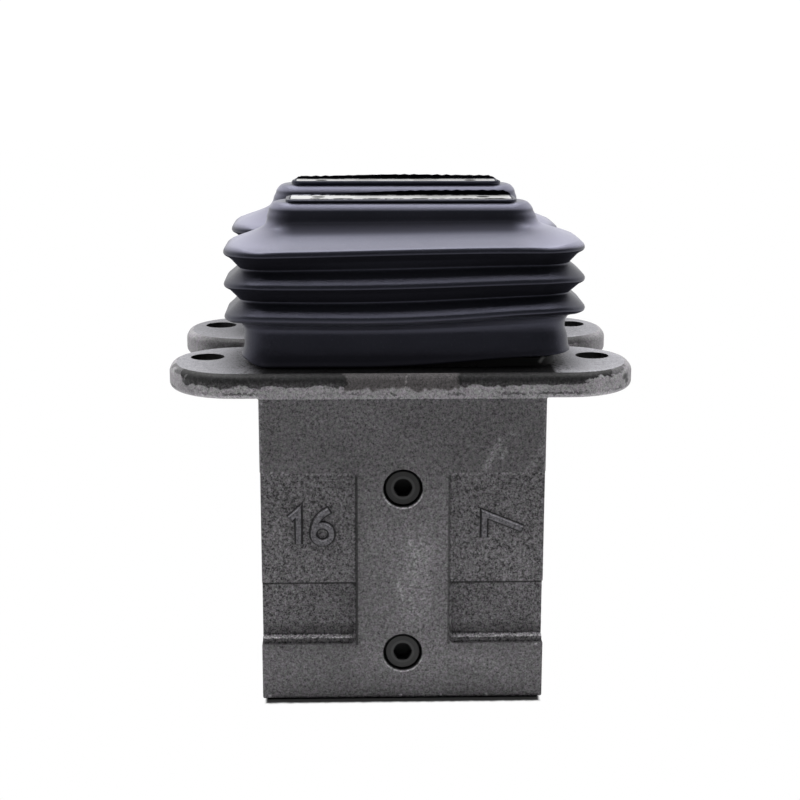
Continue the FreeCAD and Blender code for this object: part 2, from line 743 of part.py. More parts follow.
def coil(label, radius, wire, turns, low, high, place_x, place_y):
    """A coil spring of square section, its helix drawn as COIL_SIDES straight runs a turn."""
    count = round(turns * COIL_SIDES)
    end_room = wire * COIL_TILT
    rise = (high - low - 2 * end_room) / count
    points = []
    for i in range(count + 1):
        turn = 2 * math.pi * i / COIL_SIDES
        points.append(Vector(radius * math.cos(turn), radius * math.sin(turn), end_room + rise * i))
    along = (points[1] - points[0]).normalize()
    outward = along.cross(Vector(0, 0, 1)).normalize()
    upward = outward.cross(along).normalize()
    corners = [points[0] + outward * (a * wire / 2) + upward * (b * wire / 2)
               for a, b in ((-1, -1), (1, -1), (1, 1), (-1, 1), (-1, -1))]
    path = Part.makePolygon(points)
    right_corner = 1
    solid = path.makePipeShell([Part.makePolygon(corners)], True, True, right_corner)
    spring = doc.addObject("Part::Feature", label)
    spring.Shape = solid
    spring.Placement = FreeCAD.Placement(Vector(place_x, place_y, low), FreeCAD.Rotation())
    sub_part(spring, label)


def springs(slice_name, side):
    """The return spring lifts the push rod; the metering spring inside it presses on the spool's head."""
    x = size(SIDES[side])
    y = size(SLICES[slice_name])
    gap = size("spring_seat_gap")
    seat = size(PISTON_LOW) - gap
    coil(f"{slice_name}_{side}_return_spring",
         size("cavity_radius - piston_clearance - return_wire * 0.75"), size("return_wire"),
         size("return_turns"), size("cavity_floor") + gap, seat, x, y)
    coil(f"{slice_name}_{side}_metering_spring", size("metering_radius"), size("metering_wire"),
         size("metering_turns"), size(f"{SPOOL_HEAD_LOW} + spool_head_thickness") + gap, seat, x, y)


def pivot_pin(slice_name):
    """Pin along Y with a groove for a circlip near each end."""
    groove_in = f"({LUG_OUTER} + circlip_play)"
    groove_out = f"({LUG_OUTER} + 2 * circlip_play + circlip_thickness)"
    shank = "pin_radius"
    core = "pin_radius - circlip_groove_depth"
    upper = [(shank, groove_in), (core, groove_in), (core, groove_out), (shank, groove_out), (shank, PIN_HALF)]
    lower = [(radius, f"-{height}") for radius, height in reversed(upper)]
    body = turned(f"{slice_name}Pin", [("0", f"-{PIN_HALF}")] + lower + upper + [("0", PIN_HALF)])
    body.Placement.Rotation = FreeCAD.Rotation(Vector(1, 0, 0), 90)
    place(body, y=SLICES[slice_name], z=PIN_HEIGHT)
    sub_part(body, slice_name + "_pivot_pin")


def pin_circlips(slice_name):
    """Open rings in the pin's grooves, their gap downwards."""
    clips = []
    for number, sign in enumerate(("-", ""), start=1):
        body = new_body(f"{slice_name}Clip{number}")
        ring = new_sketch(body, "XZ_Plane")
        add_circle(ring, "0", "0", "pin_radius + circlip_width - circlip_groove_depth")
        add_circle(ring, "0", "0", "pin_radius - circlip_groove_depth")
        pad(body, ring, "circlip_thickness", middle=True)
        gap = new_sketch(body, "XZ_Plane")
        add_box(gap, "-circlip_gap / 2", "-2 * pin_radius", "circlip_gap / 2", "0")
        pocket(body, gap, "2 * circlip_thickness", middle=True)
        middle = f"({LUG_OUTER} + 1.5 * circlip_play + circlip_thickness / 2)"
        place(body, y=f"{SLICES[slice_name]} + {sign}{middle}", z=PIN_HEIGHT)
        clips.append(body)
    group(clips, slice_name + "_pin_circlips")


def pin_bushes(slice_name):
    """Two plain bushes pressed into the rocker's hub."""
    bushes = []
    inner = "pin_radius + bush_clearance"
    outer = "pin_radius + bush_wall"
    for number, start in enumerate(("-hub_width / 2", "hub_width / 2 - bush_length"), start=1):
        bush = turned(f"{slice_name}Bush{number}",
                      [(inner, "0"), (outer, "0"), (outer, "bush_length"), (inner, "bush_length")])
        bush.Placement.Rotation = FreeCAD.Rotation(Vector(1, 0, 0), -90)
        bushes.append(place(bush, y=f"{SLICES[slice_name]} + ({start})", z=PIN_HEIGHT))
    group(bushes, slice_name + "_pin_bushes")


def rocker(slice_name):
    """The rocking lever: two arms over the push rods, and a neck up to the head that carries the plate."""
    body = new_body(slice_name + "Rocker")
    arms = new_sketch(body, "XZ_Plane")
    add_outline(arms, [
        (f"-{ARM_REACH}", "-arm_low"), (ARM_REACH, "-arm_low"), (ARM_REACH, "arm_high"),
        ("arm_root_reach", "arm_high"), ("neck_half_width", "arm_root_high"),
        ("-neck_half_width", "arm_root_high"), ("-arm_root_reach", "arm_high"), (f"-{ARM_REACH}", "arm_high"),
    ])
    pad(body, arms, "hub_width", middle=True)
    hub = new_sketch(body, "XZ_Plane")
    add_circle(hub, "0", "0", "hub_radius")
    pad(body, hub, "hub_width", middle=True)
    neck = new_sketch(body, "XZ_Plane")
    add_outline(neck, [
        ("-neck_half_width", "0"), ("neck_half_width", "0"), ("neck_half_width", NECK_WAIST),
        (f"{HEAD_HALF_LENGTH} - boot_wall", "head_lift"), (HEAD_HALF_LENGTH, "head_lift"),
        (HEAD_HALF_LENGTH, HEAD_TOP), (f"-{HEAD_HALF_LENGTH}", HEAD_TOP),
        (f"-{HEAD_HALF_LENGTH}", "head_lift"), (f"boot_wall - {HEAD_HALF_LENGTH}", "head_lift"),
        ("-neck_half_width", NECK_WAIST),
    ])
    pad(body, neck, "neck_width", middle=True)
    waist = size(NECK_WAIST)
    dress(body, "Fillet", lambda p: near(p.z, waist) and near(abs(p.x), size("neck_half_width")), "neck_radius")

    end = size(HEAD_HALF_LENGTH)
    dress(body, "Fillet", lambda p: near(abs(p.x), end) and near(abs(p.y), size("neck_width / 2")),
          "plate_corner_radius")

    groove = new_sketch(body, "XY_Plane", "head_lift + head_groove_low + head_groove_width")
    add_rounded_box(groove, f"{HEAD_HALF_LENGTH} + plate_corner_radius", "neck_width", "plate_corner_radius")
    add_rounded_box(groove, f"{HEAD_HALF_LENGTH} - head_groove_depth", "neck_width / 2 - head_groove_depth",
                    "plate_corner_radius - head_groove_depth")
    pocket(body, groove, "head_groove_width")

    bore = new_sketch(body, "XZ_Plane")
    add_circle(bore, "0", "0", "pin_radius + bush_wall")
    pocket(body, bore, "2 * hub_width", middle=True)
    columns(body, "adjuster_radius", "arm_high", "arm_high + arm_low")
    plate_holes(body, HEAD_TOP, "plate_screw_length - plate_thickness", "pedal_hole_depth")
    place(body, y=SLICES[slice_name], z=PIN_HEIGHT)
    sub_part(body, slice_name + "_rocker")


def plate_holes(body, top, screw_depth, pedal_depth):
    """Two holes for the plate's own screws, and two threads for a pedal."""
    for radius, offset, depth in (("plate_screw_radius", "plate_screw_offset", screw_depth),
                                  ("pedal_hole_radius", "pedal_hole_spacing / 2", pedal_depth)):
        sketch = new_sketch(body, "XY_Plane", top)
        for sign in ("-", ""):
            add_circle(sketch, f"{sign}{offset}", "0", radius)
        pocket(body, sketch, depth)


def adjusting_screws(slice_name):
    """Ball-ended screws in the rocker's arms, each held by a lock nut."""
    pieces = []
    ball = f"{PIN_HEIGHT} - adjuster_ball_drop"
    for side, across in SIDES.items():
        name = f"{slice_name}{side}Adjuster"
        tip = doc.addObject("Part::Sphere", name + "Ball")
        tip.setExpression("Radius", bound("adjuster_radius"))
        stem = doc.addObject("Part::Cylinder", name + "Stem")
        stem.setExpression("Radius", bound("adjuster_radius"))
        stem.setExpression("Height", bound("adjuster_top + adjuster_ball_drop"))
        screw = doc.addObject("Part::MultiFuse", name)
        screw.Shapes = [tip, stem]
        pieces.append(place(screw, across, SLICES[slice_name], ball))
        blank = hexagon(name + "NutBlank", "lock_nut_width", "lock_nut_height")
        thread = doc.addObject("Part::Cylinder", name + "NutThread")
        thread.setExpression("Radius", bound("adjuster_radius"))
        thread.setExpression("Height", bound("lock_nut_height"))
        nut = cut(name + "Nut", blank, thread)
        pieces.append(place(nut, across, SLICES[slice_name], f"{PIN_HEIGHT} + arm_high"))
    group(pieces, slice_name + "_adjusting_screws")


def pedal_plate(slice_name):
    """The bright plate on top of the rocker; a pedal is bolted to its two threads."""
    body = new_body(slice_name + "Plate")
    outline = new_sketch(body, "XY_Plane")
    add_rounded_box(outline, "plate_length / 2", "plate_width / 2", "plate_corner_radius")
    pad(body, outline, "plate_thickness")
    plate_holes(body, "plate_thickness", "plate_thickness", "plate_thickness")
    top = size("plate_thickness")
    offset = size("plate_screw_offset")
    reach = size("plate_screw_radius") + 0.01
    dress(body, "Chamfer", lambda p: near(p.z, top) and abs(abs(p.x) - offset) < reach
          and abs(p.y) < reach, "plate_screw_head_radius - plate_screw_radius")
    place(body, y=SLICES[slice_name], z=PLATE_LOW)
    sub_part(body, slice_name + "_pedal_plate")


def plate_screws(slice_name):
    """Countersunk screws, flush with the plate's top."""
    screws = []
    cone = "(plate_screw_head_radius - plate_screw_radius)"
    for number, sign in enumerate(("-", ""), start=1):
        screw = turned(f"{slice_name}PlateScrew{number}", [
            ("0", "-plate_screw_length"), ("plate_screw_radius", "-plate_screw_length"),
            ("plate_screw_radius", f"-{cone}"), ("plate_screw_head_radius", "0"), ("0", "0"),
        ])
        screws.append(place(screw, f"{sign}plate_screw_offset", SLICES[slice_name], PLATE_TOP))
    group(screws, slice_name + "_plate_screws")


def rounded_ring(half_x, half_y, radius, height):
    """A closed wire: a rectangle with round corners, lying flat at a height."""
    edges = []
    corners = ((1, -1, -90), (1, 1, 0), (-1, 1, 90), (-1, -1, 180))
    ends = []
    for sign_x, sign_y, start in corners:
        centre = Vector(sign_x * (half_x - radius), sign_y * (half_y - radius), height)
        arc = Part.Arc(Part.Circle(centre, Vector(0, 0, 1), radius), math.radians(start), math.radians(start + 90))
        edges.append(arc.toShape())
        ends.append((edges[-1].Vertexes[0].Point, edges[-1].Vertexes[-1].Point))
    wire_edges = []
    for i in range(4):
        wire_edges.append(edges[i])
        wire_edges.append(Part.LineSegment(ends[i][1], ends[(i + 1) % 4][0]).toShape())
    return Part.Wire(wire_edges)


def fold_levels(inner):
    """Rings of the convoluted part, from the skirt up: (half length, half width, corner radius, height)."""
    levels = []
    half_x = size("skirt_half_length")
    half_y = size("skirt_half_width")
    radius = size("skirt_corner_radius")
    valley = size("fold_valley_reach")
    reach = size("fold_reach")
    blunt = reach - size("fold_tip_rounding")
    half_tip = size("fold_tip_half_height")
    pitch = size(FOLD_PITCH)
    folds = int(size("fold_count"))
    for fold in range(folds):
        tip = size(FIRST_TIP) + fold * pitch
        crest = [(reach, tip)] if inner else [(blunt, tip - half_tip), (reach, tip), (blunt, tip + half_tip)]
        levels += [(half_x + out, half_y + out, radius + out, height) for out, height in crest]
        if fold < folds - 1:
            middle = tip + pitch / 2
            levels.append((half_x + valley, half_y + valley, radius + valley, middle))
    return levels


def boot_levels(inner):
    """All rings of the boot's outer or inner surface, with heights above the flange."""
    wall = size("boot_wall") if inner else 0
    skirt = (size("skirt_half_length"), size("skirt_half_width"), size("skirt_corner_radius"))
    waist = (size("waist_half_length"), size("waist_half_width"), size("waist_corner_radius"))
    levels = [skirt + (0.0,), skirt + (size("skirt_height"),)] + fold_levels(inner)
    levels.append(waist + (size(WAIST_HEIGHT),))
    levels = [(x - wall, y - wall, r - wall, z) for x, y, r, z in levels]
    lip = (size(LIP_HALF_LENGTH), size(LIP_HALF_WIDTH), size(LIP_RADIUS))
    top = size(f"{BOOT_TOP} - lip_drop")
    if inner:
        return levels + [lip + (size(HEAD_GROOVE_LOW),), lip + (top,)]
    rounding = size("shoulder_rounding")
    shoulder = size(f"{BOOT_TOP} - shoulder_drop")
    radius = size("waist_corner_radius - (waist_half_width - shoulder_half_width)")
    half_x = size("shoulder_half_length")
    half_y = size("shoulder_half_width")
    levels.append((half_x, half_y, radius, shoulder - rounding))
    levels.append((half_x - rounding, half_y - rounding, radius - rounding / 2, shoulder))
    for width, height in ((size("lip_foot_width"), shoulder + size("lip_foot_rise")),
                          (size("lip_top_width"), top)):
        levels.append((lip[0] + width, lip[1] + width, lip[2] + width, height))
    return levels


def bead(outer, depth, low, high):
    """A flat ring that stands inwards from the boot's inner wall into a groove."""
    rims = [outer, tuple(value - depth for value in outer)]
    blocks = [Part.Face(rounded_ring(*rim, low)).extrude(Vector(0, 0, high - low)) for rim in rims]
    return blocks[0].cut(blocks[1])


def boot(slice_name):
    """Rubber boot: a skirt, folds, a concave waist and a lip; a bead at each end sits in a groove."""
    outer = Part.makeLoft([rounded_ring(*level) for level in boot_levels(False)], True, True)
    inner = Part.makeLoft([rounded_ring(*level) for level in boot_levels(True)], True, True)
    fit = size("boot_fit")
    root = size("boot_wall") / 4
    skirt = tuple(size(text) + fit + root for text in (COVER_HALF_LENGTH, COVER_HALF_WIDTH, COVER_RADIUS))
    lip = tuple(size(text) + root for text in (LIP_HALF_LENGTH, LIP_HALF_WIDTH, LIP_RADIUS))
    groove = size("cover_groove_low")
    foot_bead = bead(skirt, size("cover_groove_depth") + root, groove + fit,
                     groove + size("cover_groove_width") - fit)
    groove = size(HEAD_GROOVE_LOW)
    lip_bead = bead(lip, size("head_groove_depth") + root, groove + fit,
                    groove + size("head_groove_width") - fit)
    feature = doc.addObject("Part::Feature", slice_name + "Boot")
    feature.Shape = outer.cut(inner).fuse([foot_bead, lip_bead]).removeSplitter().Solids[0]
    feature.Placement = FreeCAD.Placement(Vector(0, size(SLICES[slice_name]), size("flange_top")),
                                          FreeCAD.Rotation())
    sub_part(feature, slice_name + "_boot")


def build():
    tie_screws()
    gallery_seals()
    for slice_name in SLICES:
        valve_body(slice_name)
        cover(slice_name)
        cover_screws(slice_name)
        guide_plugs(slice_name)
        seal_rings(slice_name, "plug_seals", "plug_radius - plug_seal_depth", "plug_radius",
                   "plug_seal_width", PLUG_LOW)
        seal_rings(slice_name, "wiper_seals", "rod_radius + seal_clearance", "seal_pocket_radius",
                   "seal_pocket_depth", "flange_top - seal_pocket_depth")
        for side in SIDES:
            push_rod(slice_name, side)
            spool(slice_name, side)
            springs(slice_name, side)
        pivot_pin(slice_name)
        pin_circlips(slice_name)
        pin_bushes(slice_name)
        rocker(slice_name)
        adjusting_screws(slice_name)
        pedal_plate(slice_name)
        plate_screws(slice_name)
        boot(slice_name)
    doc.recompute()


def check():
    """Stops the script when any object failed, or a sub-part has no valid solid."""
    for thing in doc.Objects:
        if "Invalid" in thing.State or "Error" in thing.State:
            raise RuntimeError(f"{thing.Name} did not build: {thing.State}")
    for thing in sub_parts:
        if thing.Shape.isNull() or not thing.Shape.isValid() or not thing.Shape.Solids:
            raise RuntimeError(f"{thing.Label} has no valid solid")


build()
check()
os.makedirs("parts", exist_ok=True)
for thing in sub_parts:
    thing.Shape.exportStep(os.path.join("parts", thing.Label + ".step"))
    print(thing.Label, len(thing.Shape.Solids), round(thing.Shape.Volume, 1))
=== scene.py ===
"""Looks of the foot pilot valve: rubber boots, cast iron, plated and machined steel.

Lengths of the object are written in millimetres and turned into metres where a mesh is made.
"""

import math

import bpy
import numpy as np
from mathutils import Matrix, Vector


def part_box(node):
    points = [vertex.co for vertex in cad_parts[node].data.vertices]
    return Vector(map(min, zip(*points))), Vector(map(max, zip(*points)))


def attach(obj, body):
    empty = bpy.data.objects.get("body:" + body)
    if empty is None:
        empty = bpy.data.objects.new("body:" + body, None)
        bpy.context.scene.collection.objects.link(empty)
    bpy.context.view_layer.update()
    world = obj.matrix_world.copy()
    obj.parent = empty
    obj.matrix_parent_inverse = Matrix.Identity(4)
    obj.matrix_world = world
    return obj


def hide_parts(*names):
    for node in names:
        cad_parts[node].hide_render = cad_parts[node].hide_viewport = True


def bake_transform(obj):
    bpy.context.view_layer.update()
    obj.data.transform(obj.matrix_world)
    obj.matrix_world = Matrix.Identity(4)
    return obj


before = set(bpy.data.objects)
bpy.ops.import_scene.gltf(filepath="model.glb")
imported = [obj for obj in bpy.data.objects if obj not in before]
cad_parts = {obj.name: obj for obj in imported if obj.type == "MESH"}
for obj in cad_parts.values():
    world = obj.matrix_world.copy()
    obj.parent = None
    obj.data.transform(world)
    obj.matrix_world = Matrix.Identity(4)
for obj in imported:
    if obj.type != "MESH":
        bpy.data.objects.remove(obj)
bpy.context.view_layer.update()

MM = 0.001
SLICES = ("front", "rear")


# Places read from the frame, in millimetres

def corners(node):
    """Lowest and highest corner of a CAD node, in millimetres."""
    low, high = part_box(node)
    return np.array(low) / MM, np.array(high) / MM


FLANGE_THICKNESS = 9.0
FLANGE_TOP = corners("front_cover")[0][2]
FLANGE_LOW = FLANGE_TOP - FLANGE_THICKNESS
FACE_Y = corners("front_valve_body")[0][1]
PLATE_LOW, PLATE_HIGH = corners("front_pedal_plate")
PLATE_TOP = PLATE_HIGH[2]
PLATE_HALF = (PLATE_HIGH - PLATE_LOW)[:2] / 2
SLICE_Y = {name: corners(f"{name}_pedal_plate")[0][1] + PLATE_HALF[1] for name in SLICES}

# Places that the solids share, in millimetres
POCKET_DEPTH = 1.6
EAR_HOLE_X = 71.5
EAR_HOLE_Y = 33.0
EAR_HOLE_REACH = 6.8
COUNTERBORE = 7.0
TIE_HEIGHTS = (17.8, 80.2)


# Node trees written as Python expressions

class Field:
    """A number that changes over a surface; arithmetic on it adds Math nodes."""

    def __init__(self, maker, socket):
        self.maker = maker
        self.socket = socket

    def math(self, operation, *others):
        values = dict(enumerate((self,) + others))
        return self.maker.field("Math", {"operation": operation}, values)

    def __add__(self, other):
        return self.math("ADD", other)

    def __sub__(self, other):
        return self.math("SUBTRACT", other)

    def __mul__(self, other):
        return self.math("MULTIPLY", other)

    def __truediv__(self, other):
        return self.math("DIVIDE", other)

    def __rsub__(self, other):
        return self.maker.field("Math", {"operation": "SUBTRACT"}, {0: other, 1: self})

    def __pow__(self, other):
        return self.math("POWER", other)

    def __abs__(self):
        return self.math("ABSOLUTE")

    __radd__ = __add__
    __rmul__ = __mul__

    def step(self, low, high):
        """Smooth step: 0 below low, 1 above high; the other way round when low is above high."""
        if low > high:
            return 1 - self.step(high, low)
        settings = {"interpolation_type": "SMOOTHSTEP"}
        return self.maker.field("MapRange", settings, {"Value": self, "From Min": low, "From Max": high})

    def clip(self):
        """The field kept between 0 and 1."""
        return self.maker.field("Clamp", {}, {"Value": self})

    def larger(self, other):
        return self.math("MAXIMUM", other)

    def within(self, low, high, soft):
        """1 between low and high, falling to 0 over a soft distance outside them."""
        return self.step(low - soft, low) * self.step(high + soft, high)


class NodeTree:
    """A node tree in which one method makes every node."""

    def __init__(self, tree):
        self.tree = tree

    def node(self, kind, settings, sockets):
        """Any node, from its type, its settings, which are set first, and values or links for its sockets."""
        node = self.tree.nodes.new("ShaderNode" + kind)
        for name, value in settings.items():
            setattr(node, name, value)
        for name, value in sockets.items():
            self.feed(node.inputs[name], value)
        return node

    def feed(self, socket, value):
        """Set a socket to a value, or link it to a field or to another node's socket."""
        if isinstance(value, Field):
            value = value.socket
        if isinstance(value, bpy.types.NodeSocket):
            self.tree.links.new(value, socket)
        else:
            socket.default_value = value

    def field(self, kind, settings, sockets, output=0):
        """One output of a new node, as a field."""
        return Field(self, self.node(kind, settings, sockets).outputs[output])

    def parts(self, vector):
        """The three parts of a vector, as fields."""
        split = self.node("SeparateXYZ", {}, {0: vector})
        return [Field(self, socket) for socket in split.outputs]


class Finish(NodeTree):
    """A material and its node tree; look names the shader sockets that stay the same all over."""

    def __init__(self, name, look):
        self.material = bpy.data.materials.new(name)
        self.material.use_nodes = True
        super().__init__(self.material.node_tree)
        self.shader = self.tree.nodes["Principled BSDF"]
        for socket, value in look.items():
            self.shader.inputs[socket].default_value = value

    def place(self, attribute=None):
        """Object coordinates, or a stored place that follows the surface.

        Gives the vector in metres and its three parts in millimetres.
        """
        if attribute:
            vector = self.node("Attribute", {"attribute_name": attribute}, {}).outputs["Vector"]
        else:
            vector = self.node("TexCoord", {}, {}).outputs["Object"]
        return vector, [part / MM for part in self.parts(vector)]

    def facing(self):
        """The three parts of the surface normal in the object's own frame."""
        return self.parts(self.node("TexCoord", {}, {}).outputs["Normal"])

    def stretched(self, vector, factors):
        return self.node("Mapping", {}, {"Vector": vector, "Scale": factors}).outputs[0]

    def noise(self, vector, scale, detail, rough):
        """Cloudy noise between 0 and 1, with scale blots to the metre."""
        sockets = {"Vector": vector, "Scale": scale, "Detail": detail, "Roughness": rough}
        return self.field("TexNoise", {}, sockets, "Fac")

    def cells(self, vector, scale):
        """Distance to the nearest of scattered points, in the texture's own cells."""
        return self.field("TexVoronoi", {}, {"Vector": vector, "Scale": scale}, "Distance")

    def mixed(self, factor, a, b):
        """Colour a where the factor is 0 and colour b where it is 1."""
        node = self.node("Mix", {"data_type": "RGBA"}, {"Factor": factor})
        self.feed(node.inputs[6], a)
        self.feed(node.inputs[7], b)
        return node.outputs[2]

    def paint(self, colour, rough=None, metal=None):
        for name, value in (("Base Color", colour), ("Roughness", rough), ("Metallic", metal)):
            if value is not None:
                self.feed(self.shader.inputs[name], value)

    def raise_bump(self, height, distance, strength):
        sockets = {"Height": height, "Distance": distance, "Strength": strength}
        self.feed(self.shader.inputs["Normal"], self.node("Bump", {}, sockets).outputs[0])


def grey(value):
    return (value, value, value, 1)


def summed(fields):
    return sum(fields[1:], fields[0])


def stroke(across, up, start, end, width):
    """1 along a soft straight stroke between two points (across, up), 0 a width away from it."""
    length = math.dist(start, end)
    run = (end[0] - start[0]) / length
    rise = (end[1] - start[1]) / length
    along = (across - start[0]) * run + (up - start[1]) * rise
    aside = abs((across - start[0]) * rise - (up - start[1]) * run)
    return aside.step(width, 0) * along.within(0, length, width)


def spot(across, up, middle, radius):
    """1 at a point (across, up), 0 a radius away from it."""
    return ((across - middle[0]) ** 2 + (up - middle[1]) ** 2).step(radius ** 2, 0)


# Marks on the surfaces, in millimetres

# Dark skin on the flange's side: left end, right end, lowest height, strength
SKIN_BANDS = (
    (-77.0, -21.0, 117.1, 1.0), (-81.0, -76.5, 120.3, 0.72), (20.0, 64.0, 117.8, 1.0),
    (64.5, 74.5, 119.5, 1.0), (74.5, 80.0, 120.9, 0.75),
)
# Scuffs on the ground face: start and end (x, z), width, strength
SCUFFS = (
    ((34.6, 97.9), (28.9, 86.5), 2.0, 0.8), ((39.0, 100.2), (41.0, 99.6), 1.2, 0.8),
    ((36.4, 94.0), (35.2, 91.5), 1.6, 0.7), ((50.5, 95.0), (45.0, 87.5), 3.2, 0.5),
    ((1.8, 66.0), (3.2, 58.0), 1.3, 0.6), ((-1.8, 45.3), (0.4, 39.0), 1.4, 0.7),
    ((6.0, 57.0), (4.0, 34.0), 9.0, 0.55), ((24.0, 15.5), (39.0, 8.5), 5.0, 0.3),
)
# Bright nicks on its edges: middle (x, z), radius
NICKS = (
    ((-50.6, 111.6), 1.0), ((-50.6, 86.2), 0.9), ((-47.0, 86.3), 0.7), ((-43.0, 86.2), 0.7),
    ((50.6, 22.6), 1.0), ((49.0, 21.0), 0.8), ((-0.7, 1.0), 0.9), ((14.0, 1.0), 0.8),
    ((31.0, 1.0), 0.8), ((-48.8, 1.3), 0.9),
)
# Painted shade of two dents at the right end of the flange's side, and one scratch in its middle
DENT_SHADE_SPOTS = (((80.6, 118.6), 1.6), ((81.4, 116.8), 1.2))
SCRATCH = ((1.5, 121.9), (0.3, 115.9), 0.7)
# The browner stretch of the flange's side: its ends and its lowest height
BROWN_STRETCH = (-20.5, 20)
BROWN_LOW = 116.2
# The paler middle of the ground face: its ends and its heights
PALE_WIDTH = (-9, 12)
PALE_HEIGHTS = (20, 66)
# The painted glint on the cover's corner: start and end (x, z), width
CORNER_GLINT = ((50.0, 123.6), (51.4, 125.4), 1.1)
# The tie screws' sockets, dark as painted shade, and the painted highlight round them: distances from the
# screw's axis
SOCKET_SHADE_REACH = 3.2
SOCKET_RIM_HIGHLIGHT = (3.6, 4.2)
# Painted shade and highlight lines in the pockets: distances from the middle of the face
EDGE_SHADE = (16.4, 17.1)
EDGE_HIGHLIGHT = (17.1, 18.0)
# Heights of the pockets' painted shade and highlight lines, from the lowest up
EDGE_RUN = (21.0, 85.0)
LEDGE_FOOT_SHADE = (20.9, 22.6)
LEDGE_HIGHLIGHT = (23.2, 23.6)
LEDGE_BACK_SHADE = (23.8, 26.5)
STEP_SHADE = (43.2, 44.5)
CEILING_HIGHLIGHT = (84.8, 85.6)


# Heights above the flange of the rubber's paler low rim, painted shade and painted highlights
LOW_RIM_PALE = (13.5, 20.5)
NECK_SHADE = (43, 53)
FLANK_HIGHLIGHT = (44, 52)
NECK_END_LIGHT = (50, 56)
SHOULDER_HIGHLIGHT = (55.3, 57.6)


# Finishes

def flange_skin(x, z, wander):
    """Dark casting skin left on the flange's side, and the browner stretch in its middle.

    Each band runs from its lowest height to the top edge, and wander makes its edges ragged.
    """
    down = z + 7.0 * (wander - 0.5)
    across = x + 12.0 * (wander - 0.5)
    bands = []
    for left, right, low, strength in SKIN_BANDS:
        bands.append(down.step(low, low + 0.5) * across.within(left, right, 1.8) * strength)
    middle = down.step(BROWN_LOW, BROWN_LOW + 1.0) * across.within(*BROWN_STRETCH, 1.0)
    return summed(bands).clip(), middle.clip()


def flange_side(iron, where, x, y, z, speck, blotch, pits):
    """Brightness of the flange's side: scraped bright in front where no dark skin is left, plain behind.

    Gives the masks of its browner middle and of its far ends as well.
    """
    front = y.step(0, -1)
    rear = y.step(-8, 8)
    ends = abs(x).step(70, 80)
    wander = 0.88 * iron.noise(where, 150, 3, 0.55) + 0.12 * iron.noise(where, 700, 3, 0.7)
    skin, brown = flange_skin(x, z, wander)
    ticks = (abs(z - 115.0) * 0.3 + speck).step(0.16, 0.1) * iron.noise(where, 90, 2, 0.5).step(0.5, 0.6)
    side = (0.38 - 0.06 * ends + 0.35 * blotch) * (1 - 0.6 * ticks) * (1 - 0.4 * pits * (1 - ends))
    # Painted shade: the dark skin is darker still towards the rounded top edge, where the lamp lights it
    painted_skin_shade = 1 - 0.78 * z.step(FLANGE_TOP - 5.0, FLANGE_TOP - 1.4)
    side = side * (1 - skin + (0.19 + 0.6 * speck) * skin * painted_skin_shade) * (1 - 0.72 * brown)
    side = side + 0.25 * stroke(x, z, *SCRATCH) * front * (0.4 + 4 * speck)
    side = side * (1 - rear) + rear * (0.075 + 0.2 * abs(x).step(70, 84) + 0.2 * blotch)
    # Painted shade of the two dents, on the front side only
    dent_shade = summed([spot(x, z, middle, radius) for middle, radius in DENT_SHADE_SPOTS]).clip()
    return side * (1 - 0.8 * dent_shade * y.step(-34, -38)), brown, ends


def flange_top(x, y, speck, blotch, cloud):
    """Brightness of the flange's top: darker at its left and at the rear slice, darker and speckled near the
    boots, with a painted highlight along its edges at the right.
    """
    near = abs(x).step(71, 52)
    flat = (0.325 + 0.12 * blotch + 0.1 * cloud) * (1 - near * (0.15 + 0.8 * speck.step(0.01, 0.08)))
    flat = flat * (1 - 0.22 * x.step(-30, -60)) * (1 - 0.25 * y.step(2, 10))
    # Painted highlight along the front and rear edges at the right, speckled
    return flat + 0.1 * abs(y).within(60, 63, 0.4) * x.step(49, 53) * (0.5 + 3 * speck)


def painted_boot_shade(x, y):
    """Painted shade on the flange in front of the front boot, and under its lifted right corner."""
    strip = abs(x).step(58, 48) * y.step(-51, -54)
    corner = x.step(55.5, 53.5) * x.step(20, 40) * y.step(-43, -46)
    return strip.larger(corner)


def ground_face(x, z, front, speck, blotch, cloud):
    """Brightness of the ground faces: paler in the middle and low down, with scuffs and nicks in front."""
    scuffs = summed([stroke(x, z, start, end, width) * strength for start, end, width, strength in SCUFFS])
    nicks = summed([spot(x, z, middle, radius) for middle, radius in NICKS])
    middle = x.within(*PALE_WIDTH, 14) * z.within(*PALE_HEIGHTS, 24)
    face = 0.132 + 0.055 * middle + 0.055 * z.step(26, 14) + 0.09 * cloud + 0.08 * blotch
    return face + front * (0.2 * scuffs * (0.6 + 2.2 * speck) + 0.3 * nicks)


def pocket_skin(x, z, walls, ledge, speck, blotch, cloud):
    """Brightness of the cast pockets, with painted shade at their step and round their ledge, and painted
    highlights on the ledge, at the ceiling and beside their edges.
    """
    step = z.within(*STEP_SHADE, 0.2) * walls * (1 - ledge)
    pocket = (0.160 + 0.10 * blotch + 0.08 * cloud) * (1 - 0.8 * step)
    pocket = pocket * (1 - 0.25 * z.within(*LEDGE_FOOT_SHADE, 0.2)) * (1 - 0.3 * z.within(*LEDGE_BACK_SHADE, 2.5))
    pocket = pocket + 0.045 * z.within(*CEILING_HIGHLIGHT, 0.3)
    pocket = pocket * (1 + 0.35 * abs(x).within(*EDGE_HIGHLIGHT, 0.3) * walls)
    return pocket + 0.5 * z.within(*LEDGE_HIGHLIGHT, 0.25) * abs(x).step(18.0, 19.5) * (0.7 + 3 * speck)


